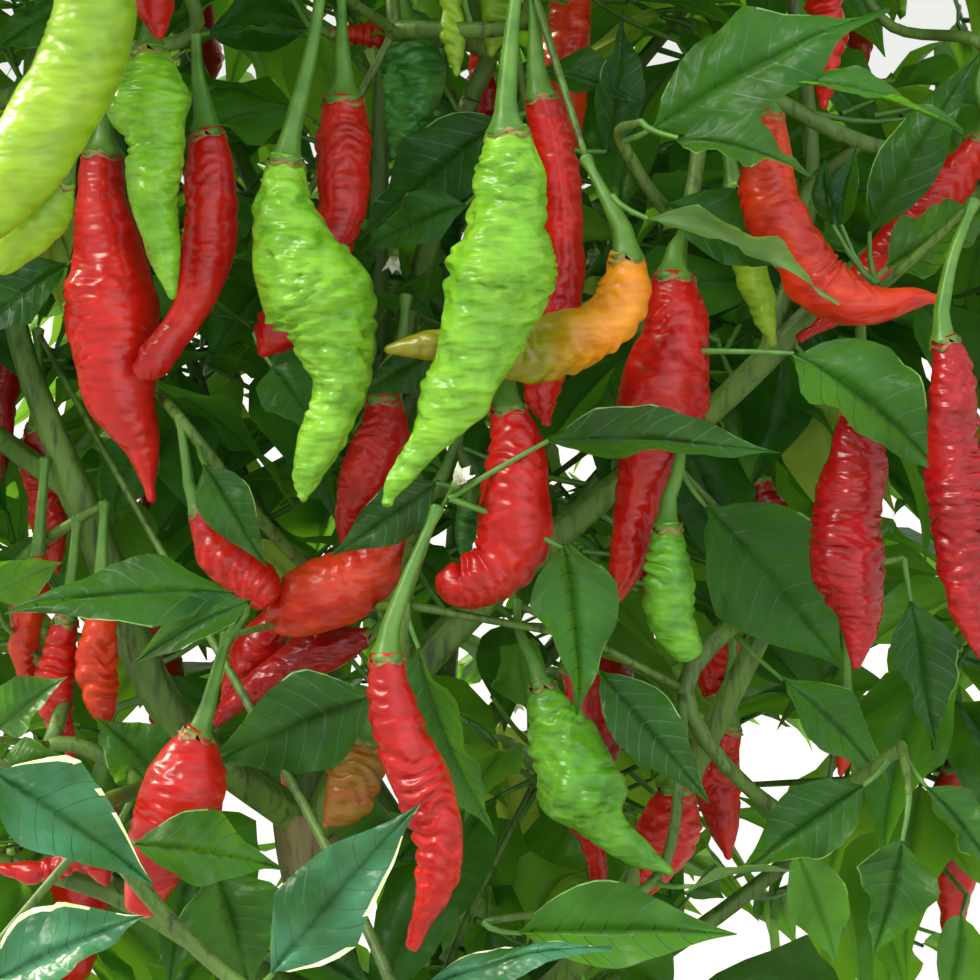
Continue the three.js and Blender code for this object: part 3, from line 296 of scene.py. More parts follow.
# leaves of the front sprays: base, tip, width, base forward, tip forward, roll, look
frontLeaves = {
    "spray_left_top": [
        ((-100, 627), (-128, 612), 17, 22, 14, 30, "mid"),
        ((-66, 617), (-33, 616), 8, 40, 44, 60, "dark"),
        ((-106, 548), (-140, 523), 20, 24, 30, 25, "dark"),
    ],
    "spray_centre_top": [
        ((55, 580), (60, 624), 19, 20, 14, -30, "dark"),
        ((34, 606), (66, 597), 17, 10, 22, 35, "dark"),
        ((26, 592), (-20, 556), 27, 14, 8, 10, "dark"),
        ((14, 566), (-19, 552), 17, 26, 22, 20, "mid"),
        ((-44, 533), (-20, 492), 22, -4, -8, 0, "mid"),
        ((12, 640), (44, 626), 20, 26, 22, 20, "mid"),
    ],
    "spray_centre": [
        ((36, 495), (107, 490), 21, 74, 84, 38, "dark"),
        ((-56, 449), (-126, 444), 24, 84, 96, 35, "dark"),
        ((-51, 447), (-88, 428), 15, 86, 96, 35, "dark"),
        ((-66, 488), (-47, 457), 17, 60, 66, 0, "dark"),
        ((5, 483), (-28, 460), 17, 62, 66, -10, "dark"),
        ((-14, 419), (-66, 397), 31, 60, 66, 12, "dark"),
        ((-2, 434), (22, 377), 30, 66, 58, -40, "mid"),
        ((42, 464), (47, 413), 25, 70, 84, 15, "mid"),
        ((52, 426), (86, 386), 22, 62, 70, 10, "dark"),
        ((-84, 500), (-94, 470), 20, -18, -20, 10, "mid"),
    ],
    "spray_right_top": [
        ((68, 588), (139, 626), 34, 70, 84, 20, "mid"),
        ((75, 586), (117, 575), 19, 84, 94, 40, "mid"),
        ((106, 602), (162, 588), 15, 82, 92, 50, "mid"),
        ((134, 555), (170, 606), 34, 44, 58, 15, "dark"),
        ((66, 562), (125, 536), 15, 84, 94, 115, "under"),
        ((72, 566), (112, 545), 24, 58, 46, 20, "dark"),
        ((110, 522), (157, 485), 34, 70, 84, 30, "mid"),
        ((125, 558), (130, 584), 9, 52, 54, 20, "dark"),
        ((123, 558), (120, 580), 9, 54, 50, -30, "dark"),
        ((138, 546), (176, 566), 26, 34, 40, 40, "mid"),
    ],
    "spray_right_low": [
        ((84, 476), (126, 426), 42, 22, 14, 12, "mid"),
        ((133, 392), (93, 364), 22, 40, 50, 12, "dark"),
        ((144, 376), (135, 340), 25, 60, 72, -12, "dark"),
        ((28, 347), (94, 347), 26, 74, 84, 25, "mid"),
        ((79, 361), (112, 365), 9, 52, 60, 110, "under"),
        ((107, 424), (140, 390), 22, 20, 22, 40, "mid"),
        ((112, 372), (124, 338), 20, 14, 10, 10, "fresh"),
        ((150, 392), (172, 364), 17, 44, 50, 40, "dark"),
        ((146, 448), (152, 402), 22, 16, 12, 20, "dark"),
    ],
    "spray_left_low": [
        ((-130, 396), (-81, 362), 30, 128, 134, 22, "gloss"),
        ((-88, 374), (-41, 366), 23, 104, 100, 30, "dark"),
        ((-46, 334), (-1, 386), 28, 122, 132, 22, "gloss"),
        ((-62, 366), (-52, 330), 34, 78, 82, 12, "dark"),
        ((-130, 332), (-83, 352), 28, 130, 138, 40, "gloss"),
        ((0, 330), (56, 344), 17, 110, 122, 55, "gloss"),
        ((-130, 448), (-108, 458), 16, 26, 22, 150, "fresh"),
        ((-128, 408), (-107, 424), 18, 66, 76, 30, "mid"),
        ((-128, 396), (-108, 400), 16, 58, 66, 30, "mid"),
        ((-78, 392), (-98, 412), 22, 30, 34, 20, "mid"),
    ],
}

# what the photo shows behind these, kept apart because it isn't part of the source's growth
frontMore = {
    "spray_centre": [("horn", "red", 20, 12, [(-41, 445), (-51, 430), (-59, 415)], None)],
}
frontMoreLeaves = {
    "spray_centre_top": [((4, 521), (-19, 508), 14, 52, 56, 0, "dark")],
    "spray_left_top": [((-46, 518), (-30, 496), 20, 20, 30, 10, "mid")],
}
# a leaf drawn slimmer than the room it was given: its spray and number
frontRedrawn = {("spray_right_top", 3): ((133, 556), (167, 612), 19, 46, 60, 15, "dark")}

sprayBough = {
    "spray_left_top": "bough_left",
    "spray_centre_top": "bough_centre",
    "spray_centre": "bough_centre_front",
    "spray_right_top": "bough_right",
    "spray_right_low": "bough_right_low",
    "spray_left_low": "bough_left_low",
}

# half width along a fruit, as a share of its greatest half width
fruitShape = {
    "horn": [(0, 0.5), (0.06, 0.62), (0.3, 1), (0.5, 0.92), (0.72, 0.58), (0.88, 0.3), (1, 0)],
    "slim": [(0, 0.6), (0.08, 0.8), (0.3, 1), (0.6, 0.92), (0.85, 0.6), (1, 0)],
    "lantern": [(0, 0.36), (0.12, 0.44), (0.2, 0.62), (0.4, 1), (0.55, 0.9), (0.72, 0.48), (0.88, 0.22),
                (1, 0)],
    "hook": [(0, 0.55), (0.08, 0.8), (0.3, 1), (0.6, 0.82), (0.85, 0.55), (1, 0)],
}

# the growth: sizes in mm, the rest shares and turns in radians
leafRule = {
    "short": 62, "long": 96, "slim": 0.46, "petiole": 15, "widest": 0.42, "clear": 1.5, "farthest": 34,
    "stations": (0.2, 0.45, 0.7, 0.9), "throws": 6,
    "room": {"petiole": 1, "base": 0.2, "body": 0.28, "bodyEnd": 0.72, "tip": 0.08},
}
leafThrow = {
    "turn": 2.6, "rise": (-0.1, 0.5), "riseSpread": 0.7, "droop": (0.2, 0.45), "roll": 1.3, "lift": 3,
    "arch": 0.1, "step": 2.1, "shorten": 0.4,
}
fruitRule = {
    "short": 60, "long": 92, "wide": 17, "stalk": 28, "stalkRadius": 1.9, "stalkRoom": 1.3, "clear": 2,
    "often": 0.75, "throws": 9,
}
fruitThrow = {
    "wide": (0.8, 0.6), "sway": 0.5, "curl": 0.7, "root": 0.8, "bend": (9, -5), "top": 13, "horns": 0.4,
    "slims": 0.75, "share": 0.72,
    "leans": [(0, 0, 0), (0.33, 0.3, 0), (0.66, 0.5, 0.1), (0.98, 0.6, 0.35)],  # share, of sway, of curl
}
twigRule = {
    "first": 16, "apart": 46, "most": 6, "least": 1.5, "each": 0.72, "core": 0.5, "clear": 1.5,
    "pathWeight": 0.15, "far": 90, "spread": (300, 300, 320), "tries": 420, "room": 9, "apartFrom": 4,
    "widen": 1.2, "checks": 8,
}
frontRule = {
    "stalkBack": 8, "stalkRise": 5, "bendShare": 0.55, "bendAhead": 3, "petiole": 0.6, "root": (0, 4, 2),
    "arch": 0.06,
}
knuckle = {"sway": 14, "back": 8}
widestLimb = 22  # no row of a room is thicker


# room: rows of start, end and radius that a twig, leaf or fruit keeps clear of
class Room:
    def __init__(self):
        self.rows = np.zeros((0, 7))

    def add(self, starts, ends, radii):
        starts, ends = np.atleast_2d(starts), np.atleast_2d(ends)
        radii = np.broadcast_to(np.asarray(radii, float).reshape(-1, 1), (len(starts), 1))
        self.rows = np.vstack([self.rows, np.hstack([starts, ends, radii])])

    def join(self, other):
        self.rows = np.vstack([self.rows, other.rows])

    def touched(self, places, margin):
        if not len(self.rows):
            return False
        low, high = places.min(0) - margin - widestLimb, places.max(0) + margin + widestLimb
        ends = np.sort(np.stack([self.rows[:, :3], self.rows[:, 3:6]]), axis=0)
        rows = self.rows[((ends[1] > low) & (ends[0] < high)).all(1)]
        if not len(rows):
            return False
        start, span, radius = rows[:, :3], rows[:, 3:6] - rows[:, :3], rows[:, 6]
        away = places[:, None, :] - start[None]
        t = np.clip((away * span).sum(2) / np.maximum((span * span).sum(1), 1e-9), 0, 1)
        off = away - span[None] * t[:, :, None]
        return bool(((off * off).sum(2) < (radius + margin) ** 2).any())


def chain(points, radii):
    return points[:-1], points[1:], radii


def between(start, end, count):
    return start + (end - start) * np.linspace(0, 1, count + 1)[:, None]


massMiddles = {name: np.array(entry[1], float) for name, entry in masses.items()}


def inCrown(places):
    away = (places - crownMiddle) / crownReach
    return bool((((away * away).sum(1) < 1) & (places[:, 2] > crown["floor"]) & ~inFront(places)).all())


# within the crown and clear of the walls between one mass and the others
def allowed(places, mass):
    if not inCrown(places):
        return False
    own = massMiddles[mass]
    for name, middle in massMiddles.items():
        if name != mass:
            across = middle - own
            if (((own + middle) / 2 - places) @ across / np.linalg.norm(across) <= crown["wall"]).any():
                return False
    return True


# twigs: one stem that branches to every point, each joined where its path stays short
def growTwigs(start, heading, points, blocked):
    places, parents, paths = [start, start + heading * twigRule["first"]], [-1, 0], [0, twigRule["first"]]
    waiting, stuck = list(range(len(points))), {}
    while waiting:
        costs = []
        for k in range(1, len(places)):
            for index in waiting:
                step = np.linalg.norm(points[index] - places[k])
                costs.append((step + twigRule["pathWeight"] * paths[k], k, index, step))
        costs.sort()
        for _, k, index, step in costs:
            if (k, index) not in stuck:
                stuck[k, index] = blocked(places[k], points[index])
            if not stuck[k, index]:
                break
        else:
            break
        waiting.remove(index)
        places.append(points[index])
        parents.append(k)
        paths.append(paths[k] + step)
    load = [1] * len(places)
    for k in range(len(places) - 1, 0, -1):
        load[parents[k]] += load[k]
    return [{"place": places[k], "from": parents[k], "load": load[k],
             "radius": twigRule["each"] * math.sqrt(load[k]) + twigRule["core"]} for k in range(len(places))]


# each run of twigs goes on through its heaviest shoot
def twigRuns(nodes):
    shoots = [[] for _ in nodes]
    for k, node in enumerate(nodes):
        if k:
            shoots[node["from"]].append(k)
    for row in shoots:
        row.sort(key=lambda k: (-nodes[k]["load"], k))
    runs = []
    for k, node in enumerate(nodes):
        if k and (node["from"] == 0 or shoots[node["from"]][0] != k):
            run = [node["from"], k]
            while shoots[run[-1]]:
                run.append(shoots[run[-1]][0])
            runs.append(run)
    return runs


def fruitRoom(room, item):
    points = along(item["line"], np.linspace(0, 1, 7))
    room.add(*chain(points, blend(fruitShape[item["shape"]], (np.arange(6) + 0.5) / 6) * item["wide"] / 2))
    stalk = np.array([*item["stalk"], item["line"][0]])
    room.add(*chain(stalk, fruitRule["stalkRadius"] * fruitRule["stalkRoom"]))


def leafFrame(item):
    run = item["to"] - item["from"]
    side = unit(np.cross(run, item["face"]))
    middle = item["from"] + run * leafRule["widest"] + item["face"] * item["arch"]
    return middle, middle - side * item["wide"] / 2, middle + side * item["wide"] / 2


def leafRoom(room, item, withPetiole=True):
    middle, share = leafFrame(item)[0], leafRule["room"]
    start, end, wide = item["from"], item["to"], item["wide"]
    if withPetiole:
        room.add(item["root"], start, share["petiole"])
    room.add(start, middle, wide * share["base"])
    room.add(middle, start + (end - start) * share["bodyEnd"], wide * share["body"])
    room.add(middle, end, wide * share["tip"])


def turned(v, axis, angle):
    return (v * math.cos(angle) + np.cross(axis, v) * math.sin(angle)
            + axis * (axis @ v) * (1 - math.cos(angle)))


def frontFruitItem(name, number, row):
    shape, colour, wide, near, line, given = row
    line = np.array([at(*place, near) for place in line])
    lead, end = unit(line[0] - line[1]), line[0]
    stalk = fruitRule["stalk"] / 2
    if given:
        root = at(*given, near - frontRule["stalkBack"])
    else:
        root = end + lead * stalk + spot(0, frontRule["stalkRise"], stalk)
    bend = root + (end - root) * frontRule["bendShare"] + lead * frontRule["bendAhead"]
    item = {"shape": shape, "colour": colour, "wide": wide * shrink(near), "line": line,
            "stalk": (root, bend), "hero": True}
    trace = frontTrace.get(name, {}).get(number)
    if trace:
        item["trace"] = np.array([[*at(*place, near), half * shrink(near)] for *place, half in trace])
    return item


def frontLeafItem(row):
    start, end, wide, near, tipNear, roll, look = row
    start, end = at(*start, near), at(*end, tipNear)
    run = unit(end - start)
    flat = unit(-lineOfSight + run * (lineOfSight @ run))
    face = turned(flat, run, math.radians(-roll if run[0] > 0 else roll))
    root = start - run * leafRule["petiole"] * frontRule["petiole"] + spot(*frontRule["root"])
    return {"from": start, "to": end, "face": face, "root": root, "wide": wide * shrink(near),
            "arch": np.linalg.norm(end - start) * frontRule["arch"], "look": look, "hero": True}


def frontItems(name):
    return ([frontFruitItem(name, number, row) for number, row in enumerate(frontFruit[name])],
            [frontLeafItem(row) for row in frontLeaves[name]])


def nearestTwig(place, nodes):
    best, found = leafRule["farthest"], None
    for node in nodes[2:]:
        places = between(nodes[node["from"]]["place"], node["place"], 6)
        reach = np.linalg.norm(places - place, axis=1)
        if reach.min() < best:
            best, found = reach.min(), places[reach.argmin()]
    return found


def seededLeaf(start, turn, roll):
    out = start - crownMiddle
    azimuth = math.atan2(out[1], out[0]) + turn + eitherWay(leafThrow["turn"], roll)
    rise = ((out[2] / crown["reach"][2]) * leafThrow["rise"][1] + leafThrow["rise"][0]
            + eitherWay(leafThrow["riseSpread"], roll))
    length = leafRule["short"] + (leafRule["long"] - leafRule["short"]) * roll()
    droop = upTo(leafThrow["droop"], roll)
    lean = eitherWay(leafThrow["roll"], roll)
    heading = direction(azimuth, rise)
    return placeLeaf(start, heading, length, droop, lean, leafRule["petiole"], leafThrow["lift"])


def placeLeaf(start, heading, length, droop, lean, petiole, lift):
    base = start + heading * petiole + spot(0, 0, lift)
    end = base + heading * length * (1 - droop * leafThrow["shorten"]) + spot(0, 0, -length * droop)
    run = unit(end - base)
    face = turned(unit(spot(0, 0, 1) - run * run[2]), run, lean)
    return {"from": base, "to": end, "face": face, "root": start - heading * 0.1,
            "wide": length * leafRule["slim"], "arch": length * leafThrow["arch"]}


def seededFruit(start, roll):
    azimuth = roll() * math.pi * 2
    length = fruitRule["short"] + (fruitRule["long"] - fruitRule["short"]) * roll()
    wide = fruitRule["wide"] * upTo(fruitThrow["wide"], roll)
    sway = eitherWay(fruitThrow["sway"], roll)
    curl = eitherWay(fruitThrow["curl"], roll)
    kind = roll()
    aside = spot(math.cos(azimuth), math.sin(azimuth), 0)
    bend = start + aside * fruitThrow["bend"][0] + spot(0, 0, fruitThrow["bend"][1])
    top = start + aside * fruitThrow["top"] + spot(0, 0, -fruitRule["stalk"])
    line = np.array([top + aside * length * (sway * bySway + curl * byCurl) + spot(0, 0, -length * share)
                     for share, bySway, byCurl in fruitThrow["leans"]])
    shape = "horn" if kind < fruitThrow["horns"] else ("slim" if kind < fruitThrow["slims"] else "lantern")
    return {"shape": shape, "wide": wide, "line": line, "stalk": (start - aside * fruitThrow["root"], bend)}


def fruitPlaces(item):
    points = along(item["line"], np.linspace(0, 1, 7))
    step = spot(item["wide"] * 0.5, item["wide"] * 0.3, 0)
    return np.vstack([points - step, points, points + step])


def leafPlaces(item):
    middle, left, right = leafFrame(item)
    start, end = item["from"], item["to"]
    return np.array([start, left, right, middle, end, (start + middle) / 2, middle + (end - middle) * 0.33,
                     middle + (end - middle) * 0.66, left + (end - left) * 0.4, right + (end - right) * 0.4])


# the first of some throws that fits
def firstFit(throws, throwItem, fits):
    for _ in range(throws):
        item = throwItem()
        if fits(item):
            return item
    return None


# the limbs' lines and the room they take
limbRule = {"thick": 5, "stemSteps": 10, "moreSteps": 2, "clear": 0.4}
limbShape, limbRoom = {}, Room()
for name, (parent, share, radii, line) in limbs.items():
    points = np.array([np.array(p, float) for p in line])
    if parent:
        points = np.vstack([along(limbShape[parent]["points"], [share]), points])
    more = limbRule["moreSteps"] if radii[0][1] > limbRule["thick"] else 0
    steps = len(points) + more if parent else limbRule["stemSteps"]
    ends = along(points, [1, 0.9999])
    limbShape[name] = {"points": points, "tip": ends[0], "heading": unit(ends[0] - ends[1]),
                       "tipRadius": radii[-1][1]}
    limbRoom.add(*chain(along(points, np.linspace(0, 1, steps + 1)),
                        blend(radii, (np.arange(steps) + 0.5) / steps) + limbRule["clear"]))

obstacles = Room()
obstacles.join(limbRoom)
frontSets = {name: frontItems(name) for name in sprayBough}
for fruits, leaves in frontSets.values():
    for item in fruits:
        fruitRoom(obstacles, item)
    for item in leaves:
        leafRoom(obstacles, item)


def massStart(boughName):
    limb = limbShape[boughName]
    return limb["tip"] + limb["heading"] * gap, limb["heading"], limb["tipRadius"]


# the front sprays: their fruit and leaves are given, and twigs grow to them
grown = {}  # name of the mass: its twigs, fruit, leaves and widest twig
grownTwigs, grownItems = Room(), Room()
for name, (fruits, leaves) in frontSets.items():
    start, heading, limit = massStart(sprayBough[name])
    roll = dice(len(name) * 7)

    def blockedFront(begin, end):
        places = between(begin, end, twigRule["checks"])
        return (limbRoom.touched(places, limit + twigRule["clear"])
                or grownTwigs.touched(places, twigRule["apartFrom"])
                or grownItems.touched(places, twigRule["apartFrom"]))

    stalks = [item["stalk"][0] for item in fruits]
    knuckles = []
    for end in stalks:
        if np.linalg.norm(end - start) > twigRule["far"]:
            aside, back = eitherWay(knuckle["sway"], roll), (1 + roll()) * knuckle["back"]
            knuckles.append(start + (end - start) * 0.5 + spot(aside, back, eitherWay(knuckle["sway"], roll)))
    bare = growTwigs(start, heading, stalks + knuckles, blockedFront)
    lone = []
    for item in leaves:
        place = nearestTwig(item["from"], bare)
        if place is None:
            lone.append(item["root"])
        else:
            item["root"] = place
    nodes = growTwigs(start, heading, stalks + knuckles + lone, blockedFront)
    for node in nodes[1:]:
        radius = max(node["radius"] * twigRule["widen"], twigRule["least"])
        grownTwigs.add(nodes[node["from"]]["place"], node["place"], radius)
    for item in fruits:
        fruitRoom(grownItems, item)
    for item in leaves:
        leafRoom(grownItems, item)
    grown[name] = {"nodes": nodes, "fruits": fruits, "leaves": leaves, "limit": limit, "shoots": []}
obstacles.join(grownTwigs)


def shootsOf(nodes):
    for node in nodes[2:]:
        base = nodes[node["from"]]["place"]
        yield node, base, node["place"] - base


# the masses: twigs grow to places thrown by the rule, then fruit and leaves grow along them
for name, (bough, middle, seed) in masses.items():
    start, heading, limit = massStart(bough)
    roll, middle = dice(seed), np.array(middle, float)

    def blockedMass(begin, end):
        places = between(begin, end, twigRule["checks"])
        return obstacles.touched(places, limit + twigRule["clear"]) or inFront(between(begin, end, 3)).any()

    points = []
    for _ in range(twigRule["tries"]):
        if len(points) >= twigRule["most"]:
            break
        place = middle + np.array([eitherWay(span, roll) for span in twigRule["spread"]])
        if (allowed(place[None], name) and not obstacles.touched(place[None], twigRule["room"])
                and all(np.linalg.norm(other - place) > twigRule["apart"] for other in points)):
            points.append(place)
    nodes = growTwigs(start, heading, points, blockedMass)
    taken = Room()
    taken.join(obstacles)

    def fits(places, clear):
        return allowed(places, name) and not taken.touched(places, clear)

    fruits, leaves = [], []
    for node, base, step in shootsOf(nodes):
        if roll() < fruitRule["often"]:
            item = firstFit(fruitRule["throws"], lambda: seededFruit(base + step * fruitThrow["share"], roll),
                            lambda thrown: fits(fruitPlaces(thrown), fruitRule["clear"]))
            if item:
                fruits.append(item)
                fruitRoom(taken, item)
        for k, share in enumerate(leafRule["stations"]):
            item = firstFit(leafRule["throws"],
                            lambda: seededLeaf(base + step * share, (k - 1) * leafThrow["step"], roll),
                            lambda thrown: fits(leafPlaces(thrown), leafRule["clear"]))
            if item:
                leaves.append(item)
                leafRoom(taken, item, False)
    grown[name] = {"nodes": nodes, "fruits": fruits, "leaves": leaves, "limit": limit, "shoots": [],
                   "taken": taken}

# what isn't part of the source's growth comes after it
for name in sprayBough:
    group = grown[name]
    for number, row in enumerate(frontMore.get(name, [])):
        item = frontFruitItem(name, len(frontFruit[name]) + number, row)
        places = [node["place"] for node in group["nodes"]]
        root = min(places, key=lambda place: np.linalg.norm(place - item["line"][0]))
        item["stalk"] = (root, item["stalk"][1])
        fruitRoom(obstacles, item)
        group["fruits"].append(item)
    group["leaves"] += [frontLeafItem(row) for row in frontMoreLeaves.get(name, [])]
for (name, number), row in frontRedrawn.items():
    root = grown[name]["leaves"][number]["root"]
    grown[name]["leaves"][number] = {**frontLeafItem(row), "root": root}


def report(stage):
    counts = [sum(len(group[kind]) for group in grown.values()) for kind in ("fruits", "leaves")]
    print("stage:", stage + ",", counts[0], "fruit,", counts[1], "leaves")


report("source rule grown")


# finer shoots on the twigs of a mass and along the boughs: mm, turns in radians, and shares
shootRule = {
    "stations": (0.12, 0.32, 0.52, 0.72, 0.9), "tips": 3, "long": (22, 34), "turn": 5, "rise": (0.2, 1.6),
    "leaves": (0.3, 0.62, 0.86, 1.0), "leafLong": (44, 40), "along": 0.4, "aside": 0.2, "upDown": 0.9,
    "droop": (0.12, 0.6), "lean": 1.5, "petiole": 11, "lift": 2, "throws": 6, "leafThrows": 6, "clear": 2.2,
    "leafClear": 0.4, "off": 8, "sag": 2, "fruits": 0.24, "fruitThrows": 4, "fruitClear": 2, "seed": 900,
    "boughSeed": 1300, "boughStep": 24, "boughPlaces": 40, "boughLow": 262,
}
everything = Room()
everything.join(obstacles)
for group in grown.values():
    if "taken" in group:
        everything.rows = np.vstack([everything.rows, group["taken"].rows[len(obstacles.rows):]])


# gaps between the leaves, as the photo shows them: across, up and half sizes, mm
openings = np.array([
    (108, 393, 13, 14), (93, 373, 6, 7), (91, 344, 10, 11), (-14, 388, 6, 8), (131, 608, 6, 8),
    (-49, 612, 4, 4), (136, 430, 5, 6), (142, 366, 5, 12), (-38, 346, 4, 6),
], float)


def inOpening(places):
    apart = places - eyePlace
    scale = eye["away"] / (apart @ lineOfSight)
    across, up = aim[0] + apart[:, 0] * scale, aim[2] + (apart @ seenUp) * scale
    return bool((((across[:, None] - openings[:, 0]) / openings[:, 2]) ** 2
                 + ((up[:, None] - openings[:, 1]) / openings[:, 3]) ** 2 < 1).any())


def free(places, clear):
    return inCrown(places) and not inOpening(places) and not everything.touched(places, clear)


def shootHeading(start, roll):
    out = start - crownMiddle
    azimuth = math.atan2(out[1], out[0]) + eitherWay(shootRule["turn"], roll)
    return direction(azimuth, shootRule["rise"][0] + eitherWay(shootRule["rise"][1], roll))


def addShoot(group, begin, roll):
    for _ in range(shootRule["throws"]):
        heading = shootHeading(begin, roll)
        end = begin + heading * upTo(shootRule["long"], roll)
        if free(between(begin + heading * shootRule["off"], end, 4), shootRule["clear"]):
            break
    else:
        return
    mid = (begin + end) / 2 + spot(0, 0, -shootRule["sag"])
    group["shoots"].append(np.array([begin, mid, end]))
    aside = unit(np.cross(heading, spot(0, 0, 1)))
    for k, share in enumerate(shootRule["leaves"]):
        place = begin + (end - begin) * share
        hand = 1 if k % 2 else -1

        def throwLeaf():
            way = heading * (shootRule["along"] + roll()) + aside * hand * (shootRule["aside"] + roll())
            way = unit(way + spot(0, 0, eitherWay(shootRule["upDown"], roll)))
            length, droop = upTo(shootRule["leafLong"], roll), upTo(shootRule["droop"], roll)
            lean = eitherWay(shootRule["lean"], roll)
            return placeLeaf(place, way, length, droop, lean, shootRule["petiole"], shootRule["lift"])
        item = firstFit(shootRule["leafThrows"], throwLeaf,
                        lambda thrown: free(leafPlaces(thrown), shootRule["leafClear"]))
        if item:
            group["leaves"].append(item)
            leafRoom(everything, item, False)
    if roll() < shootRule["fruits"]:
        item = firstFit(shootRule["fruitThrows"], lambda: seededFruit(mid, roll),
                        lambda thrown: free(fruitPlaces(thrown), shootRule["fruitClear"]))
        if item:
            group["fruits"].append(item)
            fruitRoom(everything, item)


boughMass = {bough: name for name, (bough, middle, seed) in masses.items()}
boughMass.update({"main_stem": "foliage_inner_left", "bough_left": "foliage_outer_left",
                  "bough_right": "foliage_inner_right", "bough_centre": "foliage_inner_left",
                  "bough_right_low": "foliage_low_right"})
for number, (bough, name) in enumerate(boughMass.items()):
    roll, places = dice(shootRule["boughSeed"] + number * 53), shootRule["boughPlaces"]
    line = along(limbShape[bough]["points"], np.linspace(0, 1, places))
    skip = int(shootRule["boughStep"] / max(np.linalg.norm(line[1] - line[0]), 1))
    for place in line[3:places:max(1, skip)]:
        if place[2] > shootRule["boughLow"]:
            addShoot(grown[name], place, roll)
for number, name in enumerate(masses):
    roll = dice(shootRule["seed"] + number * 37)
    for node, base, step in shootsOf(grown[name]["nodes"]):
        tips = shootRule["tips"] if node["load"] == 1 else 1
        for share in shootRule["stations"] + (1.0,) * tips:
            addShoot(grown[name], base + step * share, roll)
report("finer shoots")


# smooth noise from a table of random numbers that repeats each way
def makeNoise(seed, size=24):
    table = np.random.default_rng(seed).random((size, size, size)) * 2 - 1

    def noise(places):
        cell = np.floor(places).astype(int)
        part = places - cell
        part = part * part * (3 - 2 * part)
        total = 0
        for step in np.ndindex(2, 2, 2):
            weight = np.where(step, part, 1 - part).prod(axis=-1)
            total = total + weight * table[tuple(np.moveaxis((cell + step) % size, -1, 0))]
        return total
    return noise


lumpNoise, creaseNoise, barkNoise = makeNoise(5), makeNoise(8), makeNoise(13)


def field(noise, x, y, z):
    return noise(np.stack(np.broadcast_arrays(x, y, z), -1))


# a pile of parts that becomes one mesh
class Pile:
    def __init__(self):
        self.points, self.quads, self.quadSlots, self.tris, self.triSlots = [], [], [], [], []
        self.count = 0

    def put(self, points, quads, slots=0, tris=None, triSlots=0):
        quads = np.asarray(quads).reshape(-1, 4)
        self.points.append(points.reshape(-1, 3))
        self.quads.append(quads + self.count)
        self.quadSlots.append(np.broadcast_to(slots, (len(quads),)))
        if tris is not None:
            tris = np.asarray(tris).reshape(-1, 3)
            self.tris.append(tris + self.count)
            self.triSlots.append(np.broadcast_to(triSlots, (len(tris),)))
        self.count += len(self.points[-1])


def gridQuads(rows, cols, wrap=False):
    index = np.arange(rows * cols).reshape(rows, cols)
    a = index[:-1] if wrap else index[:-1, :-1]
    d = index[1:] if wrap else index[1:, :-1]
    b = np.roll(index, -1, 1)[:-1] if wrap else index[:-1, 1:]
    c = np.roll(index, -1, 1)[1:] if wrap else index[1:, 1:]
    return np.stack([a, d, c, b], -1).reshape(-1, 4)


# two directions square to a line, carried along it without a twist
def squareTo(points):
    ahead = np.gradient(points, axis=0)
    ahead /= np.linalg.norm(ahead, axis=1)[:, None]
    side = spot(0, 1, 0) if abs(ahead[0][1]) < 0.8 else spot(1, 0, 0)
    sides = []
    for way in ahead:
        side = unit(side - way * (side @ way))
        sides.append(side)
    sides = np.array(sides)
    return sides, np.cross(sides, ahead)


# radii is one number a ring, or one a point
def ringPoints(core, radii, sides):
    side, other = squareTo(core)
    angle = np.linspace(0, 2 * math.pi, sides, endpoint=False)
    radii = np.asarray(radii, float)
    radii = radii[:, None] if radii.ndim == 1 else radii
    return (core[:, None] + radii[..., None] * (np.cos(angle)[None, :, None] * side[:, None]
                                                + np.sin(angle)[None, :, None] * other[:, None]))


def fanOn(ring, tip, sides, flip=False):
    nextOne = (np.arange(sides) + 1) % sides
    fan = np.stack([ring + np.arange(sides), np.full(sides, tip), ring + nextOne], -1)
    return fan[:, ::-1] if flip else fan


def caps(rings, sides, foot, tip):
    return np.vstack([fanOn(0, foot, sides, True), fanOn((rings - 1) * sides, tip, sides)])


def putTube(pile, core, radii, sides, slot=0, closed=True):
    rings, last = ringPoints(core, radii, sides), len(core) * sides
    points = np.vstack([rings.reshape(-1, 3), core[:1], core[-1:]])
    tris = caps(len(core), sides, last, last + 1) if closed else None
    pile.put(points, gridQuads(len(core), sides, True), slot, tris, slot)


# fruit skin: lobes, lumps and the creases that run across it, in mm
skinRelief = {
    "lobes": 3, "lobeDepth": 0.05, "lobeTwist": 0.02, "lumpSize": 12, "lumpDepth": 0.16,
    "foldStep": 3.4, "foldDepth": 3.0, "foldSharp": 0.8, "foldLevel": 0.65, "bend": 4.2, "ripple": 1.2,
    "fade": (0.55, 1.3, 0.06, 1.1), "blisterDepth": 2.0,
    "wander": 0.1, "wanderStep": 24, "blunt": 2.2, "calm": 0.35, "easeTop": 9, "easeTip": 12,
}
patternSize = {"bend": (9, 13), "ripple": (4, 8), "fade": (8, 10), "blister": (8, 8 / 1.4)}  # round and along
pucker = {"lantern": 1.0, "horn": 0.6, "slim": 0.55, "hook": 0.45}
frontPucker = {
    "spray_left_top": (0.2, 0.25, 0.5, 0.42, 0.5, 0.32),
    "spray_centre_top": (1, 0.6, 1, 0.5, 0.5, 0.9),
    "spray_centre": (0.36, 0.45, 0.3, 0.35, 0.35, 0.3, 0.6),
    "spray_right_top": (0.6, 0.5, 0.5, 0.5, 0.6, 0.6),
    "spray_right_low": (1.0, 0.4, 0.4),
}


def smoothed(pairs, t, reach=0.05):
    shifts = np.linspace(-reach, reach, 7)
    return np.mean([blend(pairs, np.clip(t + shift, 0, 1)) for shift in shifts], axis=0)


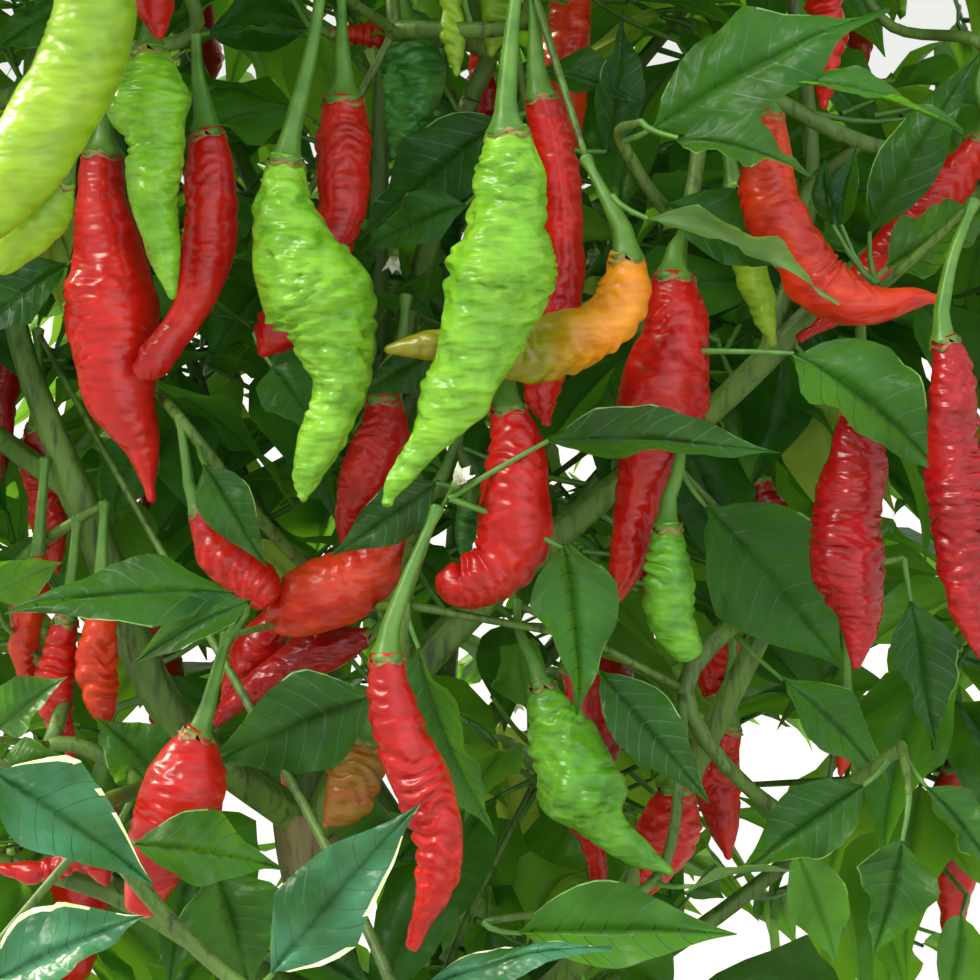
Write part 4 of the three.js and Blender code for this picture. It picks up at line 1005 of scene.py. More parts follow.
def fruitSkin(item, rings, sides, seed):
    t = np.linspace(0, 1, rings)
    traced = along(item["trace"], t) if "trace" in item else None
    core = along(item["line"], t) if traced is None else traced[:, :3]
    length = np.linalg.norm(np.diff(core, axis=0), axis=1).sum()
    s = t * length
    half = item["wide"] / 2
    blunt = skinRelief["blunt"]
    radius = smoothed(fruitShape[item["shape"]], t) * half if traced is None else traced[:, 3]
    radius = np.maximum(radius, min(1.5, half * 0.3))
    radius = radius * np.sqrt(np.clip(1 - np.clip((s - length + blunt) / blunt, 0, 1) ** 2, 0, 1))
    angle = np.linspace(0, 2 * math.pi, sides, endpoint=False)[None, :]
    turn = seed * 1.7
    c, d = np.cos(angle + turn) * half, np.sin(angle + turn) * half
    body = np.broadcast_to(radius[:, None], (rings, sides))
    share = np.clip(body / max(half, 1), 0, 1)
    shift = seed * 3.71

    def pattern(noise, sizes, first=0, second=0, third=0):
        return field(noise, c / sizes[0] + first, d / sizes[0] + second, s[:, None] / sizes[1] + third)

    size = skinRelief["lumpSize"] * (0.7 + half / 40)
    lumps = sum(pattern(lumpNoise, (size / finer, size / finer), shift * finer, shift * 0.7 * finer,
                        shift * finer) * part for finer, part in ((1, 1), (2.1, 0.5)))
    # folds that run across the fruit, bent, merged and faded by noise, with blisters over them
    bend = pattern(creaseNoise, patternSize["bend"], shift)
    ripple = pattern(barkNoise, patternSize["ripple"], 0, shift)
    fade = pattern(barkNoise, patternSize["fade"], shift)
    blisters = pattern(creaseNoise, patternSize["blister"], 0, shift)
    step = skinRelief["foldStep"] + half * 0.14
    wave = math.pi * s[:, None] / step + skinRelief["bend"] * bend + skinRelief["ripple"] * ripple
    ridge = np.abs(np.sin(wave)) ** skinRelief["foldSharp"] - skinRelief["foldLevel"]
    base, swing, least, most = skinRelief["fade"]
    puff = (skinRelief["foldDepth"] * np.clip(base + swing * fade, least, most) * ridge
            + skinRelief["blisterDepth"] * blisters)
    calm = skinRelief["calm"] if "trace" in item else 1
    lobes = calm * np.cos(skinRelief["lobes"] * (angle + turn) + s[:, None] * skinRelief["lobeTwist"])
    ease = np.clip(s / skinRelief["easeTop"], 0, 1) * np.clip((length - s) / skinRelief["easeTip"], 0, 1)
    ease = ease[:, None]
    body = body * (1 + ease * (skinRelief["lobeDepth"] * lobes + skinRelief["lumpDepth"] * calm * lumps))
    body = body + ease * puff * share * item.get("pucker", pucker[item["shape"]])
    body = np.maximum(body, np.minimum(0.25, radius[:, None]))
    sway = np.stack([field(lumpNoise, s / skinRelief["wanderStep"] + shift, k, shift) for k in range(3)], -1)
    core = core + sway * item["wide"] * skinRelief["wander"] * calm * (ease ** 0.5)
    return core, body


def putFruit(pile, item, rings, sides, seed):
    core, body = fruitSkin(item, rings, sides, seed)
    if "trace" in item:
        item["line"] = core[[0, 4]]
    rows = ringPoints(core, body, sides)[:-1]
    flat = np.vstack([rows.reshape(-1, 3), core[:1], core[-1:]])
    count = len(rows) * sides
    pile.put(flat, gridQuads(len(rows), sides, True), 0, caps(len(rows), sides, count, count + 1))
    reach = np.append(0, np.cumsum(np.linalg.norm(np.diff(core, axis=0), axis=1)))
    item["girth"] = (reach, body.max(axis=1))


# the stalk, thickening to a cup over the fruit's shoulder, with a dried and toothed collar
stalkShape = {
    "thin": 1.35, "thick": 2.8, "thinShare": 0.4, "thickShare": 0.6, "rings": 9, "lean": 0.45,
    "radii": ((0, 0.1, 0.4, 1), (1.4, 1, 1.2)),  # share of the length, share of the thin radius
    "joint": (1.6, 1.2, 0.5), "jointRadii": (1.1, 1.55),  # rounded, at the twig
    "cup": 7, "cupPlaces": (0.55, 0.22, 0), "collar": 1.1, "over": 0.3, "teeth": 5, "tooth": 0.8,
}


def putStalk(pile, item, sides, seed):
    root, bend = item["stalk"]
    end = item["line"][0]
    ahead = unit(item["line"][1] - item["line"][0])
    neck = item["girth"][1][0]
    thin = min(stalkShape["thin"], neck * stalkShape["thinShare"])
    thick = min(stalkShape["thick"], neck * stalkShape["thickShare"])
    cup = min(stalkShape["cup"], np.linalg.norm(end - bend) * 0.6)
    way = unit(ahead * stalkShape["lean"] + unit(end - bend) * (1 - stalkShape["lean"]))
    share = np.linspace(0, 1, stalkShape["rings"])
    path = along(np.array([root, bend, end - way * cup]), share)
    shares, parts = stalkShape["radii"]
    radii = np.interp(share, shares, [*(thin * part for part in parts), thick])
    joint = root + unit(root - bend) * np.array(stalkShape["joint"])[:, None]
    # the cup widens to the fruit's neck, and the collar lies just over the shoulder and ends inside it
    cups = end - way * cup * np.array(stalkShape["cupPlaces"])[:, None]
    cupRadii = [thick * 1.15, thick + (neck - thick) * 0.5, neck * 0.93]
    down = np.array([0.5, 1.4, 1.4 + stalkShape["collar"], 1.2])
    girth = np.interp(down, *item["girth"])
    collar = girth * (1, 1, 1, 0.85) + stalkShape["over"] * np.array([0.5, 1, 1.3, 0])
    core = np.vstack([joint, path, cups, end + ahead * down[:, None]])
    jointRadii = [0.1, *(thin * part for part in stalkShape["jointRadii"])]
    radii = np.concatenate([jointRadii, radii, cupRadii, collar])
    angle = np.linspace(0, 2 * math.pi, sides, endpoint=False)
    rings = ringPoints(core, radii[:, None] * (1 + 0.05 * np.cos(5 * angle)[None]), sides)
    tooth = stalkShape["tooth"] * (np.cos(stalkShape["teeth"] * angle) + 0.7 * np.cos(2 * angle + seed))
    rings[-3:-1] += ahead * tooth[:, None]
    slots = np.zeros(len(core) - 1, int)
    slots[-2:] = 1
    pile.put(rings, gridQuads(len(core), sides, True), np.repeat(slots, sides))


# a leaf: rows that slant forward from the midrib as its side veins do, finer on the leaves seen near
leafShape = {
    "slant": 0.27, "vein": 0.004, "rib": 0.34, "relief": 0.5, "crinkle": 2.2, "crinkleSize": (11, 8),
    "ragged": 0.1, "fold": (0.1, 0.45), "wave": (1.4, 3.4), "cup": (-0.3, 0.5), "twist": 1.3,
    "curl": (-0.091, 0.26),
}
leafOutline = [(0, 0.03), (0.05, 0.16), (0.12, 0.44), (0.22, 0.78), (0.33, 0.97), (0.41, 1), (0.53, 0.9),
               (0.66, 0.65), (0.78, 0.38), (0.88, 0.17), (0.95, 0.07), (1, 0.012)]
leafVeins = {"hero": 8, "near": 6, "far": 4}
# leaves with a lit rim get a wider outer strip, which takes the painted rim light
leafColumns = {"rim": (0, 0.22, 0.45, 0.68, 0.88, 1), "hero": (0, 0.22, 0.45, 0.72, 0.965, 1),
               "near": (0, 0.28, 0.56, 0.82, 1), "far": (0, 0.38, 0.75, 1)}
toneSlots = {"dark": 0, "mid": 1, "fresh": 2, "lit": 3, "gloss": 4, "under": 5}
# the last two slots are painted rim light on leaf margins
ribSlot, veinSlot, paintedRimSlot, paintedEdgeSlot = 6, 7, 8, 9


# rows of a leaf: share of its length, lift between the veins, and whether a vein fills the strip before it
def leafRows(veins, half):
    rows = [(0, 0, False)]
    for k in range(veins):
        vein = 0.03 + (k + 0.35) * 0.9 / veins
        rows.append(((rows[-1][0] + vein) / 2, 1, False))
        rows.append((vein - half, 0, False))
        if half:
            rows.append((vein + half, 0, True))
    rows += [((rows[-1][0] + 1) / 2, 0.5, False), (1, 0, False)]
    t, lift, isVein = (np.array(column, float) for column in zip(*rows))
    return t[:, None], lift[:, None], isVein[1:] > 0


def putLeaf(pile, item, tone, roll, hero=False):
    grade = "hero" if hero else ("near" if item["near"] else "far")
    # glossy and lit hero leaves get the near white painted rim light, the others a paler green one
    rim = hero and tone in ("gloss", "lit")
    t, lift, isVein = leafRows(leafVeins[grade], leafShape["vein"] if hero else 0)
    cols = np.array(leafColumns["rim" if rim else grade])
    u = np.concatenate([-cols[::-1], cols])[None]
    mag = np.abs(u)
    vary = [roll() for _ in range(8)]
    run = item["to"] - item["from"]
    length = np.linalg.norm(run)
    run = run / length
    side = unit(np.cross(run, item["face"]))
    face = item["face"]
    s = t + leafShape["slant"] * mag ** 1.15 * (1 - t) * np.minimum(1, 3 * t + 0.35)
    ragged = field(lumpNoise, s * 6, np.sign(u) * 3 + vary[4] * 9, vary[5] * 9) * leafShape["ragged"]
    half = blend(leafOutline, s) * (1 + ragged * (1 if hero else 0.7)) * item["wide"] / 2
    rib = leafShape["rib"] * (1 - 0.8 * s) * (1 if hero else 0.8)
    reach = np.sign(u) * (rib + np.maximum(half - rib, 0.02) * mag)
    fold, wave, cup, curl = (leafShape[key][0] + leafShape[key][1] * vary[k]
                             for key, k in (("fold", 0), ("wave", 1), ("cup", 2), ("curl", 4)))
    wave *= min(item["wide"] / 26, 1.3)
    twist = (vary[3] - 0.5) * leafShape["twist"]
    turns = (1.5 + 1.2 * vary[5]) if hero else (1.1 + 0.9 * vary[5])
    rolling = s * turns + vary[6] + 0.37 * (u > 0)
    ruffle = np.sin(2 * math.pi * rolling) + 0.4 * np.sin(2 * math.pi * (2.3 * rolling + vary[7]))
    up = (np.abs(reach) * fold + cup * half * mag ** 2.4
          + wave * mag ** 2 * ruffle * np.sin(math.pi * np.clip(s, 0, 1))
          + leafShape["relief"] * lift * 4 * mag * (1 - mag * 0.85) * np.minimum(half / 8, 1))
    if hero:
        long, wide = leafShape["crinkleSize"]
        up = up + leafShape["crinkle"] * np.minimum(mag * 3, 1) * field(
            lumpNoise, s * length / long + vary[0] * 9, reach / wide, vary[1] * 9)
    tilt = twist * (s - 0.35)
    sideways = np.cos(tilt) * reach - np.sin(tilt) * up
    upward = np.sin(tilt) * reach + np.cos(tilt) * up
    spine = item["arch"] * 4 * s * (1 - s) - curl * length * (s ** 3 - s * 0.4) * 0.6
    points = (item["from"] + run * (s * length)[..., None] + side * sideways[..., None]
              + face * (upward + spine)[..., None])
    n = len(cols)
    slots = np.full((len(t) - 1, 2 * n - 1), toneSlots[tone])
    if hero:
        if tone in ("dark", "mid", "gloss"):
            slots[isVein] = veinSlot
        # painted rim light: one margin is lit here and there, near white on glossy and lit leaves and a paler
        # green on the others
        middle = (t[:-1, 0] + t[1:, 0]) / 2
        pale = np.sin(middle * 9 + vary[7] * 6) + 0.6 * np.sin(middle * 23 + vary[6] * 9)
        slots[pale > (-0.5 if rim else 0.1), 0 if vary[5] < 0.5 else -1] = paintedRimSlot if rim else paintedEdgeSlot
    slots[:, n - 1] = ribSlot
    pile.put(points, gridQuads(len(t), 2 * n), slots.ravel())


def putPetiole(pile, item, slot, sides=5, thick=0.85):
    start, end = item["root"], item["from"]
    run = unit(item["to"] - item["from"])
    mid = (start + end) / 2 + spot(0, 0, -0.8) - run * 1.2
    core = along(np.array([start, mid, end + run * 1.5]), np.linspace(0, 1, 4))
    putTube(pile, core, np.linspace(thick * 1.25, thick * 0.8, 4), sides, slot, closed=False)


# a flower half open: five pointed petals round a short cone, on a thin stalk
blossomShape = {
    "petals": 5, "long": 6.5, "wide": 3.8, "open": 0.4, "stalk": 9, "fold": 0.6, "cone": 3.2,
    "outline": (0.25, 0.8, 1, 0.6, 0.03), "coneRadii": (1.1, 1.2, 0.8, 0.3),
    "stalkRadii": (0.7, 0.6, 0.6, 0.7, 1.2, 1.5),
}


def putBlossom(petals, stalks, place, heading, seed):
    heading = unit(heading)
    side = unit(np.cross(heading, spot(0.3, 1, 0.2)))
    other = np.cross(side, heading)
    width = np.array(blossomShape["outline"])[:, None] * blossomShape["wide"] / 2
    share = np.linspace(0, 1, len(width))[:, None]
    bend = blossomShape["open"] * (0.5 + 0.8 * share)
    reach = blossomShape["long"] * share
    u = np.array([-1, 0, 1])[None]
    for k in range(blossomShape["petals"]):
        angle = 2 * math.pi * (k + seed * 0.17) / blossomShape["petals"]
        out = side * math.cos(angle) + other * math.sin(angle)
        edge = np.cross(heading, out)
        lift = reach * np.cos(bend) - blossomShape["fold"] * np.abs(u)
        points = (place + out * (reach * np.sin(bend) + 0 * u)[..., None] + heading * lift[..., None]
                  + edge * (width * u)[..., None])
        petals.put(points, gridQuads(len(width), 3))
    cone = place + heading * np.linspace(0, blossomShape["cone"], 4)[:, None]
    putTube(petals, cone, blossomShape["coneRadii"], 6, 1)
    neck = place - heading * 4 + spot(0, 0, 0.6)
    stem = along(np.array([place - heading * blossomShape["stalk"], neck, place]), np.linspace(0, 1, 6))
    putTube(stalks, stem, blossomShape["stalkRadii"], 7)


def makePiece(name, pile, materials):
    points = np.vstack(pile.points) * metre
    quads = np.vstack(pile.quads)
    tris = np.vstack(pile.tris) if pile.tris else np.zeros((0, 3), int)
    slots = np.concatenate(pile.quadSlots + pile.triSlots)
    corners = np.concatenate([quads.ravel(), tris.ravel()])
    starts = np.concatenate([np.arange(len(quads)) * 4, quads.size + np.arange(len(tris)) * 3])
    mesh = bpy.data.meshes.new(name)
    mesh.vertices.add(len(points))
    mesh.vertices.foreach_set("co", points.astype(np.float32).ravel())
    mesh.loops.add(len(corners))
    mesh.loops.foreach_set("vertex_index", corners.astype(np.int32))
    mesh.polygons.add(len(starts))
    mesh.polygons.foreach_set("loop_start", starts.astype(np.int32))
    mesh.polygons.foreach_set("material_index", slots.astype(np.int32))
    mesh.polygons.foreach_set("use_smooth", np.ones(len(starts), bool))
    for material in materials:
        mesh.materials.append(material)
    mesh.update(calc_edges=True)
    mesh.validate()
    piece = bpy.data.objects.new(name, mesh)
    bpy.context.scene.collection.objects.link(piece)
    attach(piece, "root")
    return piece


# materials

def linear(hexText):
    values = [int(hexText[k:k + 2], 16) / 255 for k in (1, 3, 5)]
    return tuple(v / 12.92 if v <= 0.04045 else ((v + 0.055) / 1.055) ** 2.4 for v in values) + (1,)


def addNode(tree, kind, values=None, links=None, **settings):
    node = tree.nodes.new(kind)
    for key, value in settings.items():
        setattr(node, key, value)
    for key, value in (values or {}).items():
        node.inputs[key].default_value = value
    for key, socket in (links or {}).items():
        tree.links.new(socket, node.inputs[key])
    return node


def newMaterial(name):
    material = bpy.data.materials.new(name)
    material.use_nodes = True
    material.node_tree.nodes.clear()
    return material, material.node_tree


def finished(material, surface):
    addNode(material.node_tree, "ShaderNodeOutputMaterial", None, {"Surface": surface})
    return material


def objectPlace(tree, scale=None):
    place = addNode(tree, "ShaderNodeTexCoord").outputs["Object"]
    if scale:
        place = addNode(tree, "ShaderNodeMapping", {"Scale": scale}, {"Vector": place}).outputs["Vector"]
    return place


# two colours mixed by cloudy noise; size is the real size of a cloud in mm
def cloudyColour(tree, first, second, size, detail=3, stretch=None):
    noise = addNode(tree, "ShaderNodeTexNoise", {"Scale": 1000 / size, "Detail": detail, "Roughness": 0.55},
                    {"Vector": objectPlace(tree, stretch)})
    ramp = addNode(tree, "ShaderNodeMapRange", {"From Min": 0.35, "From Max": 0.65},
                   {"Value": noise.outputs["Fac"]}, clamp=True)
    mix = addNode(tree, "ShaderNodeMix", {6: linear(first), 7: linear(second)},
                  {0: ramp.outputs["Result"]}, data_type="RGBA")
    return mix.outputs[2]


# capsicum skin: a smooth waxy cuticle over puckered flesh, so it is glossy with small sharp highlights
skins = {  # two colours, size of their clouds in mm, roughness, depth of the pucker in m
    "skinRed": ("#9E0804", "#B8190A", 16, 0.28, 0.0008),
    "skinDeep": ("#84060C", "#A21012", 18, 0.27, 0.0024),
    "skinTurning": ("#AE1C08", "#C8380C", 12, 0.29, 0.001),
    "skinOrange": ("#CC780C", "#DC9016", 10, 0.3, 0.0012),
    "skinOlive": ("#924A0E", "#80661A", 12, 0.34, 0.0014),
    "skinGreen": ("#5E9818", "#7CB429", 9, 0.3, 0.0026),
    "skinPale": ("#769E1A", "#8EB226", 18, 0.32, 0.0008),
    "skinYoung": ("#3F7A12", "#5E9C20", 10, 0.3, 0.002),
    "skinUnripe": ("#2C661F", "#3D7C28", 12, 0.36, 0.0022),
}


def makeSkin(name, first, second, size, rough, depth, shoulder=None):
    material, tree = newMaterial(name)
    colour = cloudyColour(tree, first, second, size)
    if shoulder:
        # a pod that ripens from its shoulder: a second colour, mixed in between two places across it in m
        apart = addNode(tree, "ShaderNodeSeparateXYZ", None, {"Vector": objectPlace(tree)})
        ripe = addNode(tree, "ShaderNodeMapRange", {"From Min": shoulder[1], "From Max": shoulder[2]},
                       {"Value": apart.outputs["X"]}, clamp=True)
        colour = addNode(tree, "ShaderNodeMix", {6: linear(shoulder[0])},
                         {0: ripe.outputs["Result"], 7: colour}, data_type="RGBA").outputs[2]
    # pucker of 8 mm between the modelled folds, three times finer along the hanging pod
    fine = addNode(tree, "ShaderNodeTexNoise", {"Scale": 1000 / 8, "Detail": 1.2, "Roughness": 0.4},
                   {"Vector": objectPlace(tree, (1, 1, 3.1))})
    bump = addNode(tree, "ShaderNodeBump", {"Strength": 0.85, "Distance": depth},
                   {"Height": fine.outputs["Fac"]})
    # painted shade: the hollows of the pucker are darkened in colour, as shade would darken them
    hollowShade = addNode(tree, "ShaderNodeMapRange", {"From Min": 0.6, "From Max": 0.34},
                     {"Value": fine.outputs["Fac"]}, clamp=True)
    colour = addNode(tree, "ShaderNodeMix", {7: (0.82, 0.8, 0.72, 1)},
                     {0: hollowShade.outputs["Result"], 6: colour},
                     data_type="RGBA", blend_type="MULTIPLY").outputs[2]
    skin = addNode(tree, "ShaderNodeBsdfPrincipled", {"Roughness": rough, "IOR": 1.42},
                   {"Base Color": colour, "Normal": bump.outputs["Normal"]})
    return finished(material, skin.outputs["BSDF"])


# leaf lamina: a thin waxy blade that light comes through, darker and glossier above than below
lamina = {  # two colours of the face, roughness, colour of the light that comes through and its share
    "leafDark": ("#173F10", "#235416", 0.4, "#6CAE22", 0.41),
    "leafMid": ("#225217", "#316A22", 0.42, "#84C62C", 0.45),
    "leafFresh": ("#3C7622", "#529030", 0.44, "#94C830", 0.44),
    "leafLit": ("#86AC32", "#A4C24C", 0.46, "#CCE25A", 0.52),
    # painted reflection: the second, pale blue-green colour of this blade stands for sky sheen, over the real
    # sheen of its lower roughness
    "leafGloss": ("#1D4C22", "#3C7454", 0.3, "#4E9838", 0.24),
    "leafUnder": ("#4C7236", "#608648", 0.55, "#98C048", 0.36),
}


def makeLamina(name, first, second, rough, glow, through):
    material, tree = newMaterial(name)
    colour = cloudyColour(tree, first, second, 17, detail=1)
    # the blade swells a little between its smaller veins, 5 mm apart
    swell = addNode(tree, "ShaderNodeTexNoise", {"Scale": 1000 / 5, "Detail": 1.5, "Roughness": 0.5},
                    {"Vector": objectPlace(tree)})
    bump = addNode(tree, "ShaderNodeBump", {"Strength": 0.6, "Distance": 0.0018},
                   {"Height": swell.outputs["Fac"]})
    blade = addNode(tree, "ShaderNodeBsdfPrincipled", {"Roughness": rough, "IOR": 1.36},
                    {"Base Color": colour, "Normal": bump.outputs["Normal"]})
    back = addNode(tree, "ShaderNodeBsdfTranslucent", {"Color": linear(glow)})
    mix = addNode(tree, "ShaderNodeMixShader", {0: through},
                  {1: blade.outputs["BSDF"], 2: back.outputs["BSDF"]})
    return finished(material, mix.outputs["Shader"])


# young green stem, stalk and rib, dried collar and petal: a smooth matt epidermis, grown, in two close tones;
# the two leaf margin colours are painted rim light
stems = {  # two colours, size of their clouds in mm, roughness
    "stalkGreen": ("#3C6A18", "#557E28", 7, 0.42),
    "petioleGreen": ("#3F6C20", "#54802E", 5, 0.45),
    "ribPale": ("#5C8440", "#74985A", 6, 0.45),
    "edgePale": ("#5A8638", "#7AA052", 5, 0.5),
    # painted rim light: a pale green and a near white margin that stand for leaf edges lit by the lamps
    "veinPale": ("#1F4C17", "#28591E", 6, 0.45),
    "rimLit": ("#C9D98A", "#EAF0C0", 6, 0.5),
    "calyxRim": ("#8A7A3A", "#6E5A2A", 2, 0.6),
    "petalWhite": ("#E9EBDD", "#D6DEBF", 3, 0.6),
    "antherPale": ("#B9B98A", "#8E9668", 1.5, 0.6),
}


def makeStem(name, first, second, size, rough):
    material, tree = newMaterial(name)
    colour = cloudyColour(tree, first, second, size)
    skin = addNode(tree, "ShaderNodeBsdfPrincipled", {"Roughness": rough, "IOR": 1.45},
                   {"Base Color": colour})
    return finished(material, skin.outputs["BSDF"])


# bark: green ridged epidermis on the boughs, corky and brown towards the foot; streaks run along the limb
barks = {  # two colours, colour of the streaks, roughness, strength of the relief
    "barkYoung": ("#405C1C", "#5A7A2A", "#303E16", 0.5, 0.3),
    "barkOld": ("#5C5234", "#7C724A", "#41342A", 0.72, 0.5),
}


def makeBark(name, first, second, streak, rough, strength):
    material, tree = newMaterial(name)
    base = cloudyColour(tree, first, second, 14, stretch=(1, 1, 0.25))
    # streaks 2.4 mm apart, drawn out along the limb
    lines = addNode(tree, "ShaderNodeTexNoise", {"Scale": 1000 / 2.4, "Detail": 4, "Roughness": 0.6},
                    {"Vector": objectPlace(tree, (1, 1, 0.12))})
    ramp = addNode(tree, "ShaderNodeMapRange", {"From Min": 0.5, "From Max": 0.68},
                   {"Value": lines.outputs["Fac"]}, clamp=True)
    mix = addNode(tree, "ShaderNodeMix", {7: linear(streak)}, {0: ramp.outputs["Result"], 6: base},
                  data_type="RGBA")
    bump = addNode(tree, "ShaderNodeBump", {"Strength": strength, "Distance": 0.0008},
                   {"Height": lines.outputs["Fac"]})
    skin = addNode(tree, "ShaderNodeBsdfPrincipled", {"Roughness": rough, "IOR": 1.45},
                   {"Base Color": mix.outputs[2], "Normal": bump.outputs["Normal"]})
    return finished(material, skin.outputs["BSDF"])


made = {}
for make, kinds in ((makeSkin, skins), (makeLamina, lamina), (makeStem, stems), (makeBark, barks)):
    made.update({name: make(name, *entry) for name, entry in kinds.items()})
made["skinRipening"] = makeSkin("skinRipening", *skins["skinOrange"], ("#7C7C0C", 0.034, 0.05))
leafSet = [made[key] for key in (*lamina, "ribPale", "veinPale", "rimLit", "edgePale")]
print("stage: materials")


# limbs with the bark's relief: five ridges, swollen forks and a fluted foot
barkShape = {
    "ringStep": 2.6, "sides": 40, "thinSides": 24, "thick": 7, "ridges": 5, "ridgeDepth": 0.05, "grain": 3.2,
    "grainDepth": 0.035, "fork": 0.14, "forkReach": 12, "flute": 0.08, "flutes": 4, "footReach": 22,
    "slim": {"bough_left": 0.78},
}
forks = {}
for parent, share, radii, line in limbs.values():
    forks.setdefault(parent, []).append(share)
for name, (parent, share, radii, line) in limbs.items():
    points = limbShape[name]["points"]
    length = np.linalg.norm(np.diff(along(points, np.linspace(0, 1, 60)), axis=0), axis=1).sum()
    rings = int(length / barkShape["ringStep"]) + 4
    sides = barkShape["sides" if radii[0][1] > barkShape["thick"] else "thinSides"]
    t = np.linspace(0, 1, rings)
    core = along(points, t)
    s = t * length
    swell = [np.exp(-((s - where * length) / barkShape["forkReach"]) ** 2) for where in forks.get(name, [])]
    radius = smoothed(radii, t, 0.02) * barkShape["slim"].get(name, 1)
    radius = (radius * (1 + barkShape["fork"] * np.max(swell + [s * 0], axis=0)))[:, None]
    angle = np.linspace(0, 2 * math.pi, sides, endpoint=False)[None]
    shift = sum(map(ord, name)) * 0.13
    ridges = np.cos(barkShape["ridges"] * angle + s[:, None] * 0.004)
    grain = barkShape["grain"]
    grain = field(barkNoise, np.cos(angle) * radius / grain + shift, np.sin(angle) * radius / grain,
                  s[:, None] / (grain * 6))
    body = radius * (1 + barkShape["ridgeDepth"] * ridges + barkShape["grainDepth"] * grain)
    if not parent:
        foot = np.exp(-s / barkShape["footReach"])[:, None]
        body = body * (1 + barkShape["flute"] * foot * np.cos(barkShape["flutes"] * angle + 0.8))
    rows = ringPoints(core, body, sides)
    low = core[:1].copy()
    if not parent:
        rows[..., 2] = np.maximum(rows[..., 2], 0)  # cut flat at the ground
        low[0, 2] = 0
    pile = Pile()
    count = rings * sides
    pile.put(np.vstack([rows.reshape(-1, 3), core[-1:], low]), gridQuads(rings, sides, True), 0,
             caps(rings, sides, count + 1, count))
    piece = makePiece("bark_" + name, pile, [made["barkYoung" if parent else "barkOld"]])
    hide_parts(name)
print("stage: limbs")

# twigs, petioles, leaves, stalks and fruit of each mass, each kind one piece
twigShape = {"sides": 7, "thin": 0.75, "widen": 1.1, "end": 0.7, "step": 5, "shoot": (1.15, 0.7)}
twigBow = {("spray_centre", 14): 38}  # a twig that passes behind the fruit beside it, mm
fruitKinds = {
    "red": ("skinRed", "red_fruit"), "deep": ("skinDeep", "red_fruit"),
    "turning": ("skinTurning", "red_fruit"), "orange": ("skinOrange", "orange_fruit"),
    "ripening": ("skinRipening", "orange_fruit"), "olive": ("skinOlive", "orange_fruit"),
    "green": ("skinGreen", "green_fruit"), "young": ("skinYoung", "green_fruit"),
    "pale": ("skinPale", "green_fruit"), "unripe": ("skinUnripe", "green_fruit"),
}
frontBlossom = {"spray_centre": [((10, 482, 72), (0.4, -0.5, 0.7))]}
blossomEvery = 13  # shoots

# what a throw of the dice up to each value gives
toneShares = [("dark", 0.42), ("mid", 0.8), ("fresh", 0.975), ("lit", 1.0)]
colourShares = [("red", 0.56), ("deep", 0.68), ("turning", 0.76), ("orange", 0.8), ("green", 0.93),
                ("unripe", 1.0)]
# painted light: leaves above or behind these places, mm, skip the first share of the dice, and so are dark
# less often, a lighter tone to brighten the high and deep foliage
paintedLightRule = {"up": 575, "back": 25, "from": 0.3}
# leaves at the front of the photo's field get a finer mesh
sight = {"front": -20, "half": 165}
fruitMesh = {"large": (136, 38), "front": (72, 24), "far": (40, 16), "largeFrom": 11}


def dealt(shares, value):
    return next(name for name, top in shares if value <= top)


def inSight(place):
    aside = np.abs(place - aim)[[0, 2]]
    return place[1] < sight["front"] and (aside < sight["half"]).all()


def putTwigs(twigs, name, group):
    nodes, limit = group["nodes"], group["limit"]
    for run in twigRuns(nodes):
        points = np.array([nodes[k]["place"] for k in run])
        radii = np.array([max(nodes[k]["radius"] * twigShape["widen"], twigShape["thin"]) for k in run])
        radii = np.minimum(radii, limit)
        radii[0] = limit if run[0] == 0 else radii[1]
        radii[-1] = max(radii[-1] * twigShape["end"], twigShape["thin"])
        length = np.linalg.norm(np.diff(points, axis=0), axis=1).sum()
        share = np.linspace(0, 1, max(6, int(length / twigShape["step"])))
        bow = np.sin(math.pi * share) * twigBow.get((name, run[-1]), 0)
        core = along(points, share) + lineOfSight * bow[:, None]
        thick = np.interp(share * (len(points) - 1), range(len(points)), radii)
        putTube(twigs, core, thick, twigShape["sides"])
    for points in group["shoots"]:
        core = along(points, np.linspace(0, 1, 6))
        putTube(twigs, core, np.linspace(*twigShape["shoot"], 6), 5, 1, closed=False)


